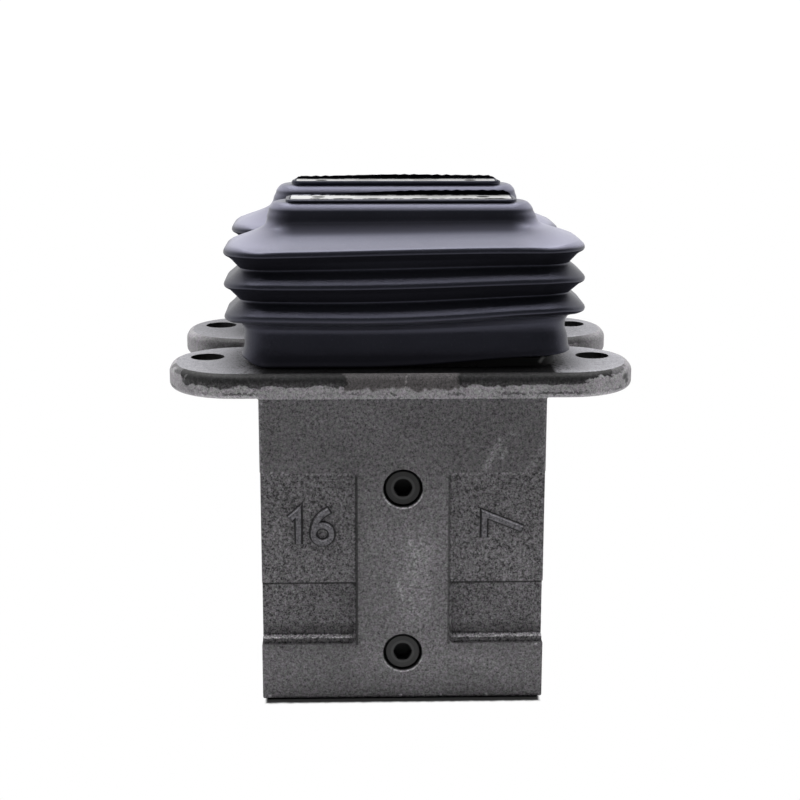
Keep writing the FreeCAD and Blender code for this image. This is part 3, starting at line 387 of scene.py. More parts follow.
def painted_hole_shade_and_lip_highlight(x, y, z, front):
    """Painted shade inside the ear holes and the counterbores, and a painted highlight on the lower lip of
    each counterbore.
    """
    off_hole = (abs(x) - EAR_HOLE_X) ** 2 + (abs(y) - EAR_HOLE_Y) ** 2
    hole = off_hole.step((EAR_HOLE_REACH + 0.4) ** 2, EAR_HOLE_REACH ** 2)
    inside = hole * z.within(FLANGE_LOW, FLANGE_TOP - 0.1, 0.1)
    lip_highlights = 0
    for height in TIE_HEIGHTS:
        off_axis = x ** 2 + (z - height) ** 2
        inside = inside + off_axis.step((COUNTERBORE + 0.25) ** 2, COUNTERBORE ** 2) * front
        lip = off_axis.within((COUNTERBORE + 0.05) ** 2, (COUNTERBORE + 0.6) ** 2, 2.0)
        lip_highlights = lip_highlights + lip * z.step(height - 1.0, height - 4.5) * front
    return inside.clip(), lip_highlights


def cast_iron():
    """Cast iron: ground faces with scuffs, rough darker pockets, a flange side half scraped bright.

    Masks pick the ground faces, the flange's top and all below the flange; what is none of these is the
    flange's side. Each kind of surface has its own brightness, and all share the grain and its bump.
    """
    iron = Finish("cast_iron", {"Specular IOR Level": 0.4})
    where, (x, y, z) = iron.place()
    _, face_y, face_z = iron.facing()
    flush = (-FACE_Y - abs(y)).step(0.5, 0.2)
    upright = abs(face_y).step(0.75, 0.95)
    below = z.step(FLANGE_LOW + 0.3, FLANGE_LOW)
    top = z.step(FLANGE_TOP - 0.07, FLANGE_TOP - 0.02)
    ground = flush * upright * below
    walls = 1 - flush
    ledge = face_z.step(0.55, 0.9) * below
    front = y.step(0, -1)
    grain = iron.noise(where, 1900, 3, 0.75) - 0.5
    speck = iron.noise(where, 850, 3, 0.7) - 0.5
    blotch = iron.noise(where, 60, 4, 0.65) - 0.5
    cloud = iron.noise(where, 17, 3, 0.5) - 0.5
    pits = iron.cells(where, 520).step(0.2, 0.08)

    face = ground_face(x, z, front, speck, blotch, cloud)
    pocket = pocket_skin(x, z, walls, ledge, speck, blotch, cloud)
    # Painted shade in a line along each pocket's inner edge, stronger on the left
    rim = abs(x).within(*EDGE_SHADE, 0.3) * z.within(*EDGE_RUN, 0.4) * (0.78 - 0.2 * x.step(0, 1)) * below
    side, brown, ends = flange_side(iron, where, x, y, z, speck, blotch, pits)
    flat = flange_top(x, y, speck, blotch, cloud)
    # Painted shade on the flange's top in front of the front boot and under its lifted corner
    shade = painted_boot_shade(x, y) * top
    value = below * (ground * face + (1 - ground) * pocket) * (1 - rim * upright) + (1 - below) * side
    value = top * flat + (1 - top) * value
    # Painted highlight on the counterbores' lower lips, and painted shade inside the holes and counterbores
    inside, lip_highlights = painted_hole_shade_and_lip_highlight(x, y, z, front)
    value = (value + 0.3 * lip_highlights) * (1 - 0.9 * inside)
    rough = (1 - 0.5 * ground) * (1 - 0.7 * top) * (0.22 + 0.78 * below) * (1 - 0.85 * ends * (1 - below))
    mottle = (1 + (1.8 + 3.6 * rough) * grain + (1.2 + 3.0 * rough) * speck).larger(0.15)
    value = value * mottle * (1 - 0.95 * shade)

    patches = iron.noise(where, 900, 2, 0.6).step(0.35, 0.65)
    tint = iron.mixed(patches, (1.05, 0.96, 1.07, 1), (0.98, 1.0, 0.99, 1))
    tint = iron.mixed(top, tint, (0.98, 0.97, 1.05, 1))
    tint = iron.mixed(brown * (1 - below) * (1 - top), tint, (1.06, 0.98, 1.0, 1))
    # Where the painted shade lies, the iron is rough and partly metallic, so that it reflects little
    dull = (0.62 - 0.12 * ground + 0.3 * grain).larger(shade)
    iron.paint(iron.mixed(value, grey(0), tint), dull, 0.8 * shade)
    relief = grain * 0.5 + speck * 1.1 + 0.6 * blotch - 0.7 * pits * (1 - ground) * (1 - top)
    iron.raise_bump(relief * rough, 0.0006, 0.8)
    return iron.material


def digit_iron_painted_shading():
    """The numbers' casting skin, with painted shade dark at their foot and painted highlight on their crest
    and where an edge looks up.
    """
    iron = Finish("digit_iron_painted_shading", {"Specular IOR Level": 0.4})
    where, (_, y, _) = iron.place()
    _, _, face_z = iron.facing()
    grain = iron.noise(where, 1300, 3, 0.7) - 0.5
    lift = FACE_Y + POCKET_DEPTH - y
    crown = lift.step(0.78 * DIGIT_LIFT, 0.9 * DIGIT_LIFT)
    lit = face_z.step(0.2, 0.8) * lift.step(0.3, 0.8 * DIGIT_LIFT)
    # Painted shade low on the strokes, painted highlight on the crest and on faces that look up
    value = (0.026 + 0.14 * crown + 0.34 * lit) * (1 + 4 * grain)
    iron.paint(iron.mixed(value, grey(0), (1.0, 0.97, 1.06, 1)), 0.6)
    iron.raise_bump(grain, 0.0003, 0.7)
    return iron.material


def rubber():
    """Near-black moulded rubber with a satin, slightly bluish skin and a little dust.

    Paler colour is painted highlight on the shoulder and the flank, and painted light at the ends of the
    flank and the neck; the skirt's foot and the lowest fold's rim are a little paler. Painted shade keeps the
    undersides of the folds, the flank between the two boots and the edge above the plate black.
    """
    look = {"Specular IOR Level": 0.7, "Specular Tint": (0.74, 0.74, 1.0, 1)}
    skin = Finish("boot_rubber", look)
    where, (x, y, z) = skin.place("moulded")
    _, _, face_z = skin.facing()
    rise = z - FLANGE_TOP
    aside = abs(abs(y) - SLICE_Y["rear"])
    # Painted shade: the edge above the plate is black, rough and metallic, so that it reflects little
    crest = z.step(PLATE_TOP + 0.05, PLATE_TOP + 0.35)
    # Painted shade on the folds' undersides
    under = 0.9 * face_z.step(-0.25, -0.6) * rise.step(18.5, 20)
    # Painted shade on the flank between the two boots, below the neck
    inner = 0.95 * aside.step(22.5, 13.5) * abs(x).step(52, 38) * face_z.step(0.1, 0.5)
    inner = inner * rise.within(*NECK_SHADE, 1.0)
    ends = abs(x).step(38, 60)
    # Painted light at the neck's ends, and painted highlights on the flank, brightest at its ends, and on the
    # shoulder
    painted_neck_end_light = abs(x).step(39, 49) * rise.within(*NECK_END_LIGHT, 2.0)
    flank = rise.within(*FLANK_HIGHLIGHT, 3.0) * face_z.step(0.1, 0.5)
    shoulder = rise.within(*SHOULDER_HIGHLIGHT, 0.5) * face_z.step(0.2, 0.6)
    low_rim = 1.2 * rise.within(*LOW_RIM_PALE, 1.0) * face_z.step(0.4, 0.1)
    foot = 0.8 * rise.step(11, 3) + 1.5 * rise.step(7, 1)
    fine = skin.noise(where, 2300, 2, 0.6)
    wide = skin.noise(where, 55, 3, 0.6)
    dust = skin.noise(where, 1100, 3, 0.75).step(0.55, 0.8)
    colour = skin.mixed(wide, (0.010, 0.011, 0.015, 1), (0.020, 0.021, 0.028, 1))
    colour = skin.mixed(0.3 * dust, colour, (0.10, 0.10, 0.12, 1))
    # Painted light and highlights on the neck's ends, flank and shoulder, with a paler skirt foot and low rim
    dust_and_painted_light = 0.1 * painted_neck_end_light + flank * (0.03 + 0.2 * ends) + 0.018 * (low_rim + foot) + 0.12 * shoulder
    colour = skin.mixed(dust_and_painted_light, colour, (0.88, 0.87, 1.12, 1))
    # Painted shade: near black, rough and partly metallic on the undersides, the flank between the boots and
    # the crest
    under = under.larger(0.85 * inner)
    painted_black_shade = crest.larger(under)
    colour = skin.mixed(painted_black_shade, colour, (0.003, 0.003, 0.004, 1))
    satin = 0.33 + 0.12 * wide + 0.1 * (fine - 0.5)
    skin.paint(colour, satin.larger(0.95 * painted_black_shade), crest.larger(0.6 * under))
    skin.raise_bump(fine + 0.6 * dust, 0.00007, 0.6)
    return skin.material


def brushed(name, low, high, rough):
    """Worked steel with fine lines along X, between two greys."""
    steel = Finish(name, {"Metallic": 1.0})
    where, _ = steel.place()
    lines = steel.noise(steel.stretched(where, (1, 40, 40)), 60, 3, 0.6)
    blotch = steel.noise(where, 80, 3, 0.6)
    steel.paint(steel.mixed(0.6 * lines + 0.4 * blotch, grey(low), grey(high)), rough + 0.15 * lines)
    steel.raise_bump(lines, 0.00003, 0.4)
    return steel.material


def cover_steel_painted_shade():
    """Steel painted near black as shade, with a painted glint on one corner."""
    steel = Finish("cover_steel_painted_shade", {"Specular IOR Level": 0.5})
    where, (x, y, z) = steel.place()
    blotch = steel.noise(where, 300, 3, 0.6)
    # Painted glint on the front of the corner; the rest of the steel is painted shade
    corner_glint = stroke(x, z, *CORNER_GLINT) * y.step(0, -1)
    steel.paint(steel.mixed(corner_glint * (0.4 + blotch), grey(0.016), grey(0.5)), 0.45 + 0.2 * blotch)
    steel.raise_bump(blotch, 0.00006, 0.5)
    return steel.material


def zinc_plate():
    """Bright plated strip, darkened in broken lines along its long edges."""
    zinc = Finish("zinc_plate", {"Metallic": 1.0})
    where, (x, y, _) = zinc.place()
    aside = abs(abs(y) - SLICE_Y["rear"])
    lines = zinc.noise(zinc.stretched(where, (1, 30, 30)), 90, 3, 0.6)
    blotch = zinc.noise(where, 90, 4, 0.65)
    ragged = zinc.noise(where, 160, 4, 0.7)
    dashes = ragged.step(0.44, 0.52) * abs(x).step(40, 36)
    edge = PLATE_HALF[1]
    # Dark broken lines along the long edges, made rough so that they reflect little
    dark_edge_lines = (aside + 3 * (ragged - 0.5)).within(edge - 1.6, edge + 1, 0.4) * dashes
    bright = zinc.mixed(0.5 * lines + 0.5 * blotch, grey(0.42), grey(0.72))
    zinc.paint(zinc.mixed(dark_edge_lines, bright, grey(0.008)), (0.26 + 0.2 * lines).larger(0.95 * dark_edge_lines))
    zinc.raise_bump(lines + blotch, 0.00004, 0.4)
    return zinc.material


def black_oxide():
    """Blackened screw steel, oily and slightly uneven, with painted shade in the tie screws' sockets and a
    painted highlight round them.
    """
    black = Finish("black_oxide", {"Metallic": 0.0, "Specular IOR Level": 0.6})
    where, (x, _, z) = black.place()
    blotch = black.noise(where, 400, 3, 0.6)
    off_axis = [x ** 2 + (z - height) ** 2 for height in TIE_HEIGHTS]
    ring_low, ring_high = SOCKET_RIM_HIGHLIGHT
    # Painted shade in the sockets and a painted highlight round them
    socket = summed([square.step((SOCKET_SHADE_REACH + 0.3) ** 2, SOCKET_SHADE_REACH ** 2) for square in off_axis])
    socket_rim_highlight = summed([square.within(ring_low ** 2, ring_high ** 2, 2.0) for square in off_axis])
    colour = black.mixed(blotch, grey(0.006), grey(0.018))
    colour = black.mixed(0.025 * socket_rim_highlight, colour, grey(1.0))
    colour = black.mixed(socket, colour, grey(0.006))
    black.paint(colour, (0.42 + 0.2 * blotch).larger(0.8 * socket), 0.5 * socket)
    black.raise_bump(blotch, 0.00006, 0.5)
    return black.material


def soft_seal():
    """Dull black seal rubber."""
    seal = Finish("seal_rubber", {})
    where, _ = seal.place()
    dust = seal.noise(where, 900, 3, 0.6)
    seal.paint(seal.mixed(dust, grey(0.012), grey(0.03)), 0.55 + 0.2 * dust)
    return seal.material


def bronze():
    """Grainy sintered bronze."""
    metal = Finish("sintered_bronze", {"Metallic": 1.0})
    where, _ = metal.place()
    grain = metal.noise(where, 1800, 3, 0.7)
    metal.paint(metal.mixed(grain, (0.42, 0.25, 0.10, 1), (0.72, 0.48, 0.22, 1)), 0.4 + 0.2 * grain)
    return metal.material


# Meshes from grids

def mesh_object(name, points, faces):
    """A smooth-shaded mesh from an array of points in millimetres and an array of faces."""
    mesh = bpy.data.meshes.new(name)
    mesh.from_pydata((points * MM).tolist(), [], faces.tolist())
    mesh.shade_smooth()
    thing = bpy.data.objects.new(name, mesh)
    bpy.context.scene.collection.objects.link(thing)
    return thing


def wrapped_faces(rows, columns, close_rows):
    """Quads of a grid whose columns close on themselves; rows close too where asked."""
    last = rows if close_rows else rows - 1
    row, column = np.meshgrid(np.arange(last), np.arange(columns), indexing="ij")
    above = (row + 1) % rows * columns
    beside = (column + 1) % columns
    row = row * columns
    return np.stack([row + column, row + beside, above + beside, above + column], -1).reshape(-1, 4)


def smoothstep(value, low, high):
    """0 at low, 1 at high and 3 s^2 - 2 s^3 for a share s between them."""
    share = np.clip((value - low) / (high - low), 0, 1)
    return share * share * (3 - 2 * share)


def rounded_loop(points, step, blur):
    """A closed polyline of rings cut into even steps, each the Gaussian mean of its neighbours.

    Steps are measured in the plane of half x and height, the rings' first and last column, and blur is the
    Gaussian's width along the loop.
    """
    closed = np.vstack([points, points[:1]])
    run = np.linalg.norm(np.diff(closed[:, [0, 3]], axis=0), axis=1)
    along = np.concatenate([[0], np.cumsum(run)])
    count = int(along[-1] / step)
    places = np.arange(count) * along[-1] / count
    even = np.stack([np.interp(places, along, column) for column in closed.T], -1)
    reach = int(4 * blur / step)
    offsets = np.arange(-reach, reach + 1)
    weights = np.exp(-0.5 * (offsets * step / blur) ** 2)
    weights /= weights.sum()
    return sum(weight * np.roll(even, -offset, axis=0) for offset, weight in zip(offsets, weights))


def outline(corner_steps, long_steps, short_steps):
    """Columns round a rectangle with round corners, counter-clockwise from above.

    Each column has a share (a, b) of the corner centres' place and a direction (u, v) away from there,
    so that a point is (a (half x - r) + u r, b (half y - r) + v r).
    """
    columns = []
    centres = ((1, -1), (1, 1), (-1, 1), (-1, -1))
    for side, centre in enumerate(centres):
        before = np.array(centres[side - 1])
        steps = short_steps if side % 2 else long_steps
        turn = math.radians(90 * side - 90)
        share = np.arange(1, steps)[:, None] / steps
        ends = before + (np.array(centre) - before) * share
        direction = np.tile([math.cos(turn), math.sin(turn)], (steps - 1, 1))
        columns.append(np.hstack([ends, direction]))
        angles = turn + np.linspace(0, math.pi / 2, corner_steps)
        columns.append(np.column_stack([np.tile(centre, (corner_steps, 1)), np.cos(angles), np.sin(angles)]))
    return np.vstack(columns)


# Boots

# Outlines of the boot: half length, half width and corner radius
SKIRT = np.array([58.0, 21.5, 11.5])
WAIST = np.array([49.0, 10.9, 10.4])
SHOULDER = np.array([48.2, 10.6, 10.1])
LIP = np.append(PLATE_HALF + 0.3, 2.3)
WALL = 2.2
# How far the folds and the valleys between them stand out from the skirt
FOLD_REACH = 5.4
END_REACH = 7.15
VALLEY_REACH = 0.95
# Heights above the flange
SKIRT_TOP = 17
FOLD_TIPS = (19.4, 31.0, 41.4)
FOLD_SPANS = (17.0, 22.0, 28.8, 33.6, 38.6, 60.0)
NECK_FOOT = 52.7
NECK_RADIUS = 4.7
LIP_FOOT = 57.9
BOOT_TOP = PLATE_TOP - FLANGE_TOP
BEND_LOW = 13
BEND_HIGH = 48
# Steps of the section: how far each ring stands out from its outline, and its height
SKIRT_STEPS = ((-0.2, 0.0), (0.35, 0.3), (0.4, 0.9), (0.0, 1.7), (0.0, 12.8), (0.3, 14.6), (1.3, 16.3))
SHOULDER_STEPS = ((0.0, 54.4), (-0.15, 55.3), (-0.8, 56.3), (-1.8, 57.3), (-3.0, 57.8))
LIP_STEPS = ((1.3, LIP_FOOT), (1.65, LIP_FOOT + 1.0), (1.2, BOOT_TOP - 0.25), (0.4, BOOT_TOP))
RIB_STEPS = ((0.0, 0.0), (0.0, 3.3), (-1.4, 3.5), (-1.4, 5.7), (0.0, 5.9), (0.0, 14.0))
# Steps of a fold's rim: out at the sides, out at the ends, and height from the tip
RIM_STEPS = ((-1.6, -1.6, -1.9), (-0.2, -0.2, -0.8), (0.0, 0.0, 0.0), (-0.2, -0.2, 0.8), (-1.4, -1.4, 2.0))
TOP_RIM_STEPS = RIM_STEPS[:3] + ((-0.12, -0.25, 0.7), (-0.45, -1.5, 1.35))
# Turns of the concave arc below the neck, in degrees
ARC_TURNS = (69, 55, 40, 25, 12, 0)
# Stretches of X over which each pull grows from nothing to its whole
LIFT_SPAN = (-15, 75)
FLARE_SPAN = (30, 60)
CURL_SPAN = (-50, -59)
REACH_SPAN = (45, 64)
SAG_SPAN = (54, 65.5)
# Places along a fold at which its height is given, as shares of the skirt's half length
STATIONS = (-1.1, -0.5, 0.0, 0.5, 1.1)
BOOTS = {
    "front": {
        "shift": 0.9, "lift": 5.2, "flare": 3.4, "curl": 2.6, "drop": 0.0, "brim": 0.0,
        "waves": (
            (-0.8, -1.23, -1.09, 0.5, 2.2), (-1.1, -1.19, -0.95, 0.1, 0.9), (-0.62, 0.05, 0.63, 1.19, 1.03),
        ),
        "reach": (0.8, 0.55, 0.2), "sag": (1.2, 0.75, 0.1), "crown": (0.5, 2.0),
    },
    "rear": {
        "shift": -0.6, "lift": 0.0, "flare": 0.0, "curl": 0.0, "drop": 0.5, "brim": 0.5,
        "waves": ((0.3, 0.1, 0.0, -0.1, -0.3), (0.2, 0.1, 0.0, -0.1, -0.2), (0.2, 0.1, 0.0, -0.1, -0.2)),
        "reach": (0.0, 0.0, 0.0), "sag": (0.4, 0.4, 0.2), "crown": (1.3, 1.6),
    },
}
# Waves of the rear lip's torn edge: height, waves in 2 pi millimetres, start
TORN_WAVES = ((0.13, 1.9, 0.0), (0.11, 3.3, 1.0), (0.08, 5.1, 2.0))


def ring(outline_size, out, height):
    """One ring of the section: an outline that is moved outwards on all sides."""
    return np.append(outline_size + out, height)


def fold_ring(out, height, end_out=None):
    """A ring of the folds, which reach further out at the boot's ends than at its long sides."""
    if end_out is None:
        end_out = out
    return np.array([SKIRT[0] + end_out * END_REACH / FOLD_REACH, SKIRT[1] + out, SKIRT[2] + out, height])


def fold_rings():
    """Each fold's blunt rim has two small edges; a valley lies halfway between two rims.

    The top rim's upper edge is sharp along the sides and rounder at the ends.
    """
    rings = []
    for number, tip in enumerate(FOLD_TIPS):
        last = tip == FOLD_TIPS[-1]
        for out, end_out, rise in TOP_RIM_STEPS if last else RIM_STEPS:
            rings.append(fold_ring(FOLD_REACH + out, tip + rise, FOLD_REACH + end_out))
        if not last:
            rings.append(fold_ring(VALLEY_REACH, (tip + FOLD_TIPS[number + 1]) / 2 - 0.3))
    return rings


def neck_rings():
    """The flank ends in a concave arc, and the upright neck in a rounded shoulder below the lip.

    At a turn t the arc's ring stands r (1 - cos t) out from the waist and r sin t below the neck's foot.
    """
    rings = []
    for turn in np.radians(ARC_TURNS):
        out = NECK_RADIUS * (1 - math.cos(turn))
        rings.append(ring(WAIST, out, NECK_FOOT - NECK_RADIUS * math.sin(turn)))
    return rings + [ring(SHOULDER, out, height) for out, height in SHOULDER_STEPS]


def boot_section():
    """The boot's wall as a closed loop of rings (half x, half y, corner radius, height above the flange).

    It runs up outside, over the skirt's bead, the folds, the neck and the lip, and down again inside, a
    wall's thickness further in, to the rib that holds the boot in the cover's groove.
    """
    outer = [ring(SKIRT, out, height) for out, height in SKIRT_STEPS]
    outer += [fold_ring(2.7, 17.2)] + fold_rings() + neck_rings()
    outer += [ring(LIP, out, height) for out, height in LIP_STEPS]
    inner = [ring(SKIRT, out - WALL, height) for out, height in RIB_STEPS]
    for number, tip in enumerate(FOLD_TIPS):
        inner.append(fold_ring(FOLD_REACH - WALL, tip))
        if tip != FOLD_TIPS[-1]:
            inner.append(fold_ring(VALLEY_REACH - WALL, (tip + FOLD_TIPS[number + 1]) / 2))
    inner += [ring(WAIST, 1.0 - WALL, 49.8), ring(LIP, 0.0, 53.2), ring(LIP, 0.0, BOOT_TOP - 0.5)]
    return np.array(outer + inner[::-1])


def pulled_askew(x, y, height, pull):
    """Where the points of the moulded boot go when it is pulled askew, as new x, y and z.

    Shift moves the folds along X, and lift and flare raise and widen the skirt's right end. For each fold
    from below, waves are its heights off level at five stations from left to right, joined by a polynomial,
    reach is how far its right end stands out further, and sag how far its ends hang. Drop lowers all folds,
    curl lifts the skirt's left corner, brim lifts the front lip, and crown is how far the rear lip stands
    up at its left and right end.
    """
    z = np.broadcast_to(height, x.shape).copy()
    share = x / SKIRT[0]
    skirt = smoothstep(height, SKIRT_TOP, 3)
    folds = smoothstep(height, 10, 18) * smoothstep(height, 55, 43)
    z += pull["lift"] * smoothstep(x, *LIFT_SPAN) * skirt
    ends = smoothstep(abs(x), *SAG_SPAN)
    stretch = 0
    for number, heights in enumerate(pull["waves"]):
        near = np.interp(height, FOLD_SPANS, np.repeat(np.eye(3)[number], 2)) * folds
        wave = np.polyval(np.polyfit(STATIONS, heights, 4), share)
        z += near * (wave - pull["sag"][number] * ends - pull["drop"])
        stretch = stretch + near * pull["reach"][number] * smoothstep(x, *REACH_SPAN)
    z += 0.9 * smoothstep(abs(x), 50, 60) * np.interp(height, (41.4, 42.8, 48.0), (0, 1, 0))
    z += pull["curl"] * smoothstep(x, *CURL_SPAN) * smoothstep(height, 9, 0)
    out = pull["flare"] * smoothstep(x, *FLARE_SPAN) * np.clip(1 - height / SKIRT_TOP, 0, 1) ** 1.5
    x = x + out + stretch + pull["shift"] * smoothstep(height, 57, 45) * smoothstep(height, -1, 8)
    y = y + 0.3 * out * np.sign(y) * smoothstep(abs(y), 8, 20)
    z += 0.12 * np.sin(x / 17.0 + 1.3) * np.cos(y / 9.0 + z / 11.0) * folds
    z += pull["brim"] * smoothstep(height, LIP_FOOT, 59.0) * smoothstep(y, 2.0, -6.0)
    left, right = pull["crown"]
    lip = smoothstep(height, LIP_FOOT, 58.6) * smoothstep(y, 3.5, 7.0) * smoothstep(abs(x), 41.8, 38.5)
    crown = left + (right - left) * smoothstep(x, -36, 36) + 0.25 * np.cos(x / 12.0)
    torn = sum(size * np.sin(rate * x + start) for size, rate, start in TORN_WAVES)
    z += lip * (crown + torn)
    return x, y, z


def boot(name):
    """One rubber boot: its section carried round a rectangle with round corners, and pulled askew.

    The moulded place is stored on each point, and the rubber's dust, painted light and painted shade read it.
    """
    rings = rounded_loop(boot_section(), step=0.45, blur=0.3)
    sides = outline(corner_steps=14, long_steps=40, short_steps=12)
    half_x, half_y, radius, height = (column[:, None] for column in rings.T)
    a, b, u, v = sides.T
    x = a * (half_x - radius) + u * radius
    y = b * (half_y - radius) + v * radius
    x, y, z = pulled_askew(x, y, height, BOOTS[name])
    points = np.stack([x, y + SLICE_Y[name], z + FLANGE_TOP], -1).reshape(-1, 3)
    thing = mesh_object(f"{name}_rubber_boot", points, wrapped_faces(len(rings), len(sides), True))
    moulded = thing.data.attributes.new("moulded", "FLOAT_VECTOR", "POINT")
    moulded.data.foreach_set("vector", (points * MM).astype(np.float32).ravel())
    thing.data.materials.append(RUBBER)
    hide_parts(f"{name}_boot")
    low = (0, SLICE_Y[name] * MM, (FLANGE_TOP + BEND_LOW) * MM)
    high = (0, SLICE_Y[name] * MM, (FLANGE_TOP + BEND_HIGH) * MM)
    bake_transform(thing)


# Cast numbers

def curve(start, bend, end, count):
    """Points of a quadratic curve from start to end, pulled towards bend."""
    share = np.linspace(0, 1, count)[:, None]
    rest = 1 - share
    return rest ** 2 * np.array(start) + 2 * share * rest * np.array(bend) + share ** 2 * np.array(end)


def arc(middle, radius, low, high, count):
    """Points of a circle's arc between two angles in degrees."""
    turn = np.radians(np.linspace(low, high, count))
    return np.column_stack([middle[0] + radius * np.cos(turn), middle[1] + radius * np.sin(turn)])


ONE = np.array([(-2.0, 3.4), (0.9, 6.0), (0.9, -6.0)])
SIX = np.vstack([curve((2.3, 6.2), (-3.3, 3.4), (-3.3, -2.6), 9)[:-1], arc((0.0, -2.6), 3.3, 180, 529, 26)])
SEVEN = np.array([(-4.2, 6.6), (4.2, 6.6), (-1.4, -7.0)])
# A stroke's crest and buried root above the pocket, its half widths, the slope of its ends and how far
# it sinks from its start to its end
DIGIT_LIFT = 1.2
DIGIT_ROOT = -0.3
HALF_FOOT = 1.65
HALF_CREST = 0.8
END_DRAFT = 0.6
LINE_SINK = 0.08


def cast_stroke(name, line, across, up, turn):
    """One raised stroke of a number: a drafted bar, wide at its foot, carried along a line with mitred bends.

    A point of the bar stands beside the line by its place in the section over the cosine of half the bend.
    The bar sinks a little along the line, so that a stroke that closes on itself has no double face.
    """
    cosine = math.cos(turn)
    sine = math.sin(turn)
    line = line @ np.array([[cosine, sine], [-sine, cosine]]) + (across, up)
    steps = np.diff(line, axis=0)
    steps /= np.linalg.norm(steps, axis=1)[:, None]
    before = np.vstack([steps[:1], steps])
    after = np.vstack([steps, steps[-1:]])
    middle = before + after
    middle /= np.linalg.norm(middle, axis=1)[:, None]
    aside = np.column_stack([-middle[:, 1], middle[:, 0]]) / (middle * before).sum(1)[:, None]
    half = ((HALF_FOOT, DIGIT_ROOT), (HALF_FOOT, 0.0), (HALF_CREST, DIGIT_LIFT))
    section = [(-out, rise) for out, rise in half] + list(half[::-1])
    line[0] -= END_DRAFT * steps[0]
    line[-1] += END_DRAFT * steps[-1]
    sink = np.linspace(0, LINE_SINK, len(line))
    points = np.stack([np.column_stack([line + aside * out, rise - sink]) for out, rise in section], 1)
    points[0, 2:4, :2] += END_DRAFT * steps[0]
    points[-1, 2:4, :2] -= END_DRAFT * steps[-1]
    x, z, rise = points.reshape(-1, 3).T
    places = np.column_stack([x, FACE_Y + POCKET_DEPTH - rise, z])
    cap = np.array([[0, 1, 4, 5], [1, 2, 3, 4]])
    far_cap = (cap + (len(line) - 1) * len(section))[:, ::-1]
    faces = np.vstack([wrapped_faces(len(line), len(section), False), cap, far_cap])
    thing = mesh_object(name, places, faces)
    thing.data.shade_flat()
    thing.data.materials.append(DIGIT_IRON_PAINTED_SHADING)
    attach(thing, "valve_block")


# Materials on the CAD nodes

RUBBER = rubber()
DIGIT_IRON_PAINTED_SHADING = digit_iron_painted_shading()
STEEL = brushed("machined_steel", 0.30, 0.60, 0.28)
FINISHES = {
    "valve_body": cast_iron(),
    "cover": cover_steel_painted_shade(),
    "pedal_plate": zinc_plate(),
    "spring": brushed("spring_steel", 0.16, 0.32, 0.3),
    "pin_circlips": brushed("clip_steel", 0.10, 0.22, 0.3),
    "screws": black_oxide(),
    "pin_bushes": bronze(),
    "seals": soft_seal(),
    "boot": RUBBER,
}
for kind in ("rocker", "pivot_pin", "adjusting_screws", "guide_plugs", "push_rod", "spool", "plate_screws"):
    FINISHES[kind] = STEEL


def dress_cad_nodes():
    """Each CAD node takes the finish whose name its own name ends with; the longest such name wins."""
    for name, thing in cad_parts.items():
        kind = max((kind for kind in FINISHES if name.endswith(kind)), key=len)
        thing.data.materials.clear()
        thing.data.materials.append(FINISHES[kind])


# Studio

# The floor's height, how far it reaches sideways and back, and its edge in front, in millimetres
FLOOR_Z = -0.2
FLOOR_FAR = 3000.0
FLOOR_NEAR = -330.0
# The painted contact shadow under the block: half its width, and its end behind
CONTACT_SHADOW_HALF = 48
CONTACT_SHADOW_BACK = 55


def room():
    """A bright backdrop behind and a dim room in front; the camera sees it white all round."""
    world = bpy.data.worlds.new("room")
    world.use_nodes = True
    bpy.context.scene.world = world
    nodes = NodeTree(world.node_tree)
    _, depth, _ = nodes.parts(nodes.node("TexCoord", {}, {}).outputs["Generated"])
    sockets = {"Value": depth, "From Min": -0.35, "From Max": 0.25, "To Min": 0.10, "To Max": 1.05}
    light = nodes.field("MapRange", {"interpolation_type": "SMOOTHSTEP"}, sockets)
    seen = nodes.field("LightPath", {}, {}, "Is Camera Ray").larger(light)
    nodes.feed(nodes.tree.nodes["Background"].inputs["Color"], seen)


def overhead_lamp():
    """A large soft lamp overhead."""
    lamp = bpy.data.lights.new("overhead", "AREA")
    lamp.shape = "RECTANGLE"
    lamp.size = 1.1
    lamp.size_y = 0.9
    lamp.energy = 17
    thing = bpy.data.objects.new("overhead", lamp)
    thing.location = (-0.05, 0.15, 1.1)
    bpy.context.scene.collection.objects.link(thing)


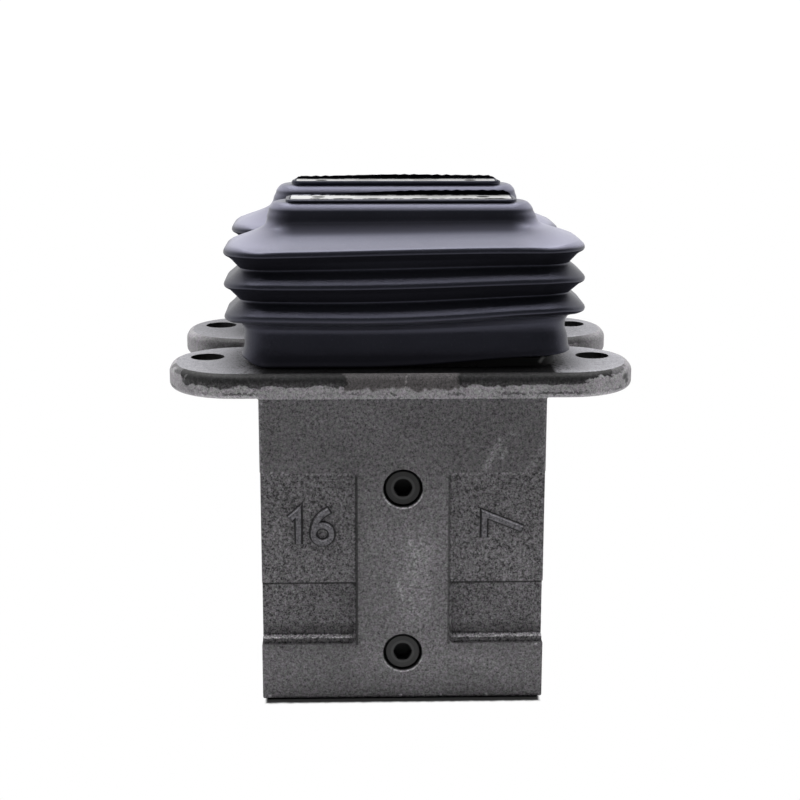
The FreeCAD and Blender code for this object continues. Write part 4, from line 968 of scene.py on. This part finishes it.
def pale_floor():
    """A pale floor with a painted contact shadow where the block stands on it, that the camera sees white
    further out.
    """
    pale = Finish("floor", {"Roughness": 0.9, "Specular IOR Level": 0.0})
    where, (x, y, _) = pale.place()
    gap = (FACE_Y - y).larger(1.5 * (abs(x) - CONTACT_SHADOW_HALF)).larger(y - CONTACT_SHADOW_BACK)
    ragged = pale.noise(where, 260, 3, 0.6) - 0.5
    far = (gap + 1.6 * ragged).step(2.8, 4.4)
    # Painted contact shadow: the floor's colour is dark close to the block
    pale.paint(pale.mixed((gap + 1.2 * ragged).step(2.2, 4.2), grey(0.05), grey(0.8)))
    rays = pale.node("LightPath", {}, {}).outputs
    seen = Field(pale, rays["Is Camera Ray"]).larger(Field(pale, rays["Is Glossy Ray"]))
    glow = pale.node("Emission", {}, {"Color": (1, 1, 1, 1), "Strength": 1.0}).outputs[0]
    mix = pale.node("MixShader", {}, {0: far * seen, 1: pale.shader.outputs[0], 2: glow})
    pale.feed(pale.tree.nodes["Material Output"].inputs["Surface"], mix.outputs[0])
    edge = (
        (-FLOOR_FAR, FLOOR_NEAR, FLOOR_Z), (FLOOR_FAR, FLOOR_NEAR, FLOOR_Z),
        (FLOOR_FAR, FLOOR_FAR, FLOOR_Z), (-FLOOR_FAR, FLOOR_FAR, FLOOR_Z),
    )
    floor = mesh_object("floor", np.array(edge), np.array([[0, 1, 2, 3]]))
    floor.data.materials.append(pale.material)


def camera():
    """The photograph's viewpoint, found from the block's edges."""
    lens_px = 1631.5
    frame_px = 800
    pitch = math.radians(12.936)
    yaw = -0.0304814
    roll = 0.0018969
    eye = (-0.0183, -0.6282, 0.2420)
    data = bpy.data.cameras.new("camera")
    data.lens = lens_px / frame_px * data.sensor_width
    thing = bpy.data.objects.new("camera", data)
    turn = Matrix.Rotation(yaw, 4, "Z") @ Matrix.Rotation(math.pi / 2 - pitch, 4, "X")
    thing.matrix_world = Matrix.Translation(eye) @ turn @ Matrix.Rotation(roll, 4, "Z")
    bpy.context.scene.collection.objects.link(thing)
    bpy.context.scene.camera = thing


dress_cad_nodes()
for slice_name in SLICES:
    boot(slice_name)
cast_stroke("cast_seven", SEVEN, 36.0, 66.0, math.pi / 2)
cast_stroke("cast_one", ONE, -38.5, 65.6, 0.0)
cast_stroke("cast_six", SIX, -29.0, 65.6, 0.0)
room()
overhead_lamp()
pale_floor()
camera()
bpy.context.scene.view_settings.view_transform = "Standard"

bpy.context.view_layer.update()
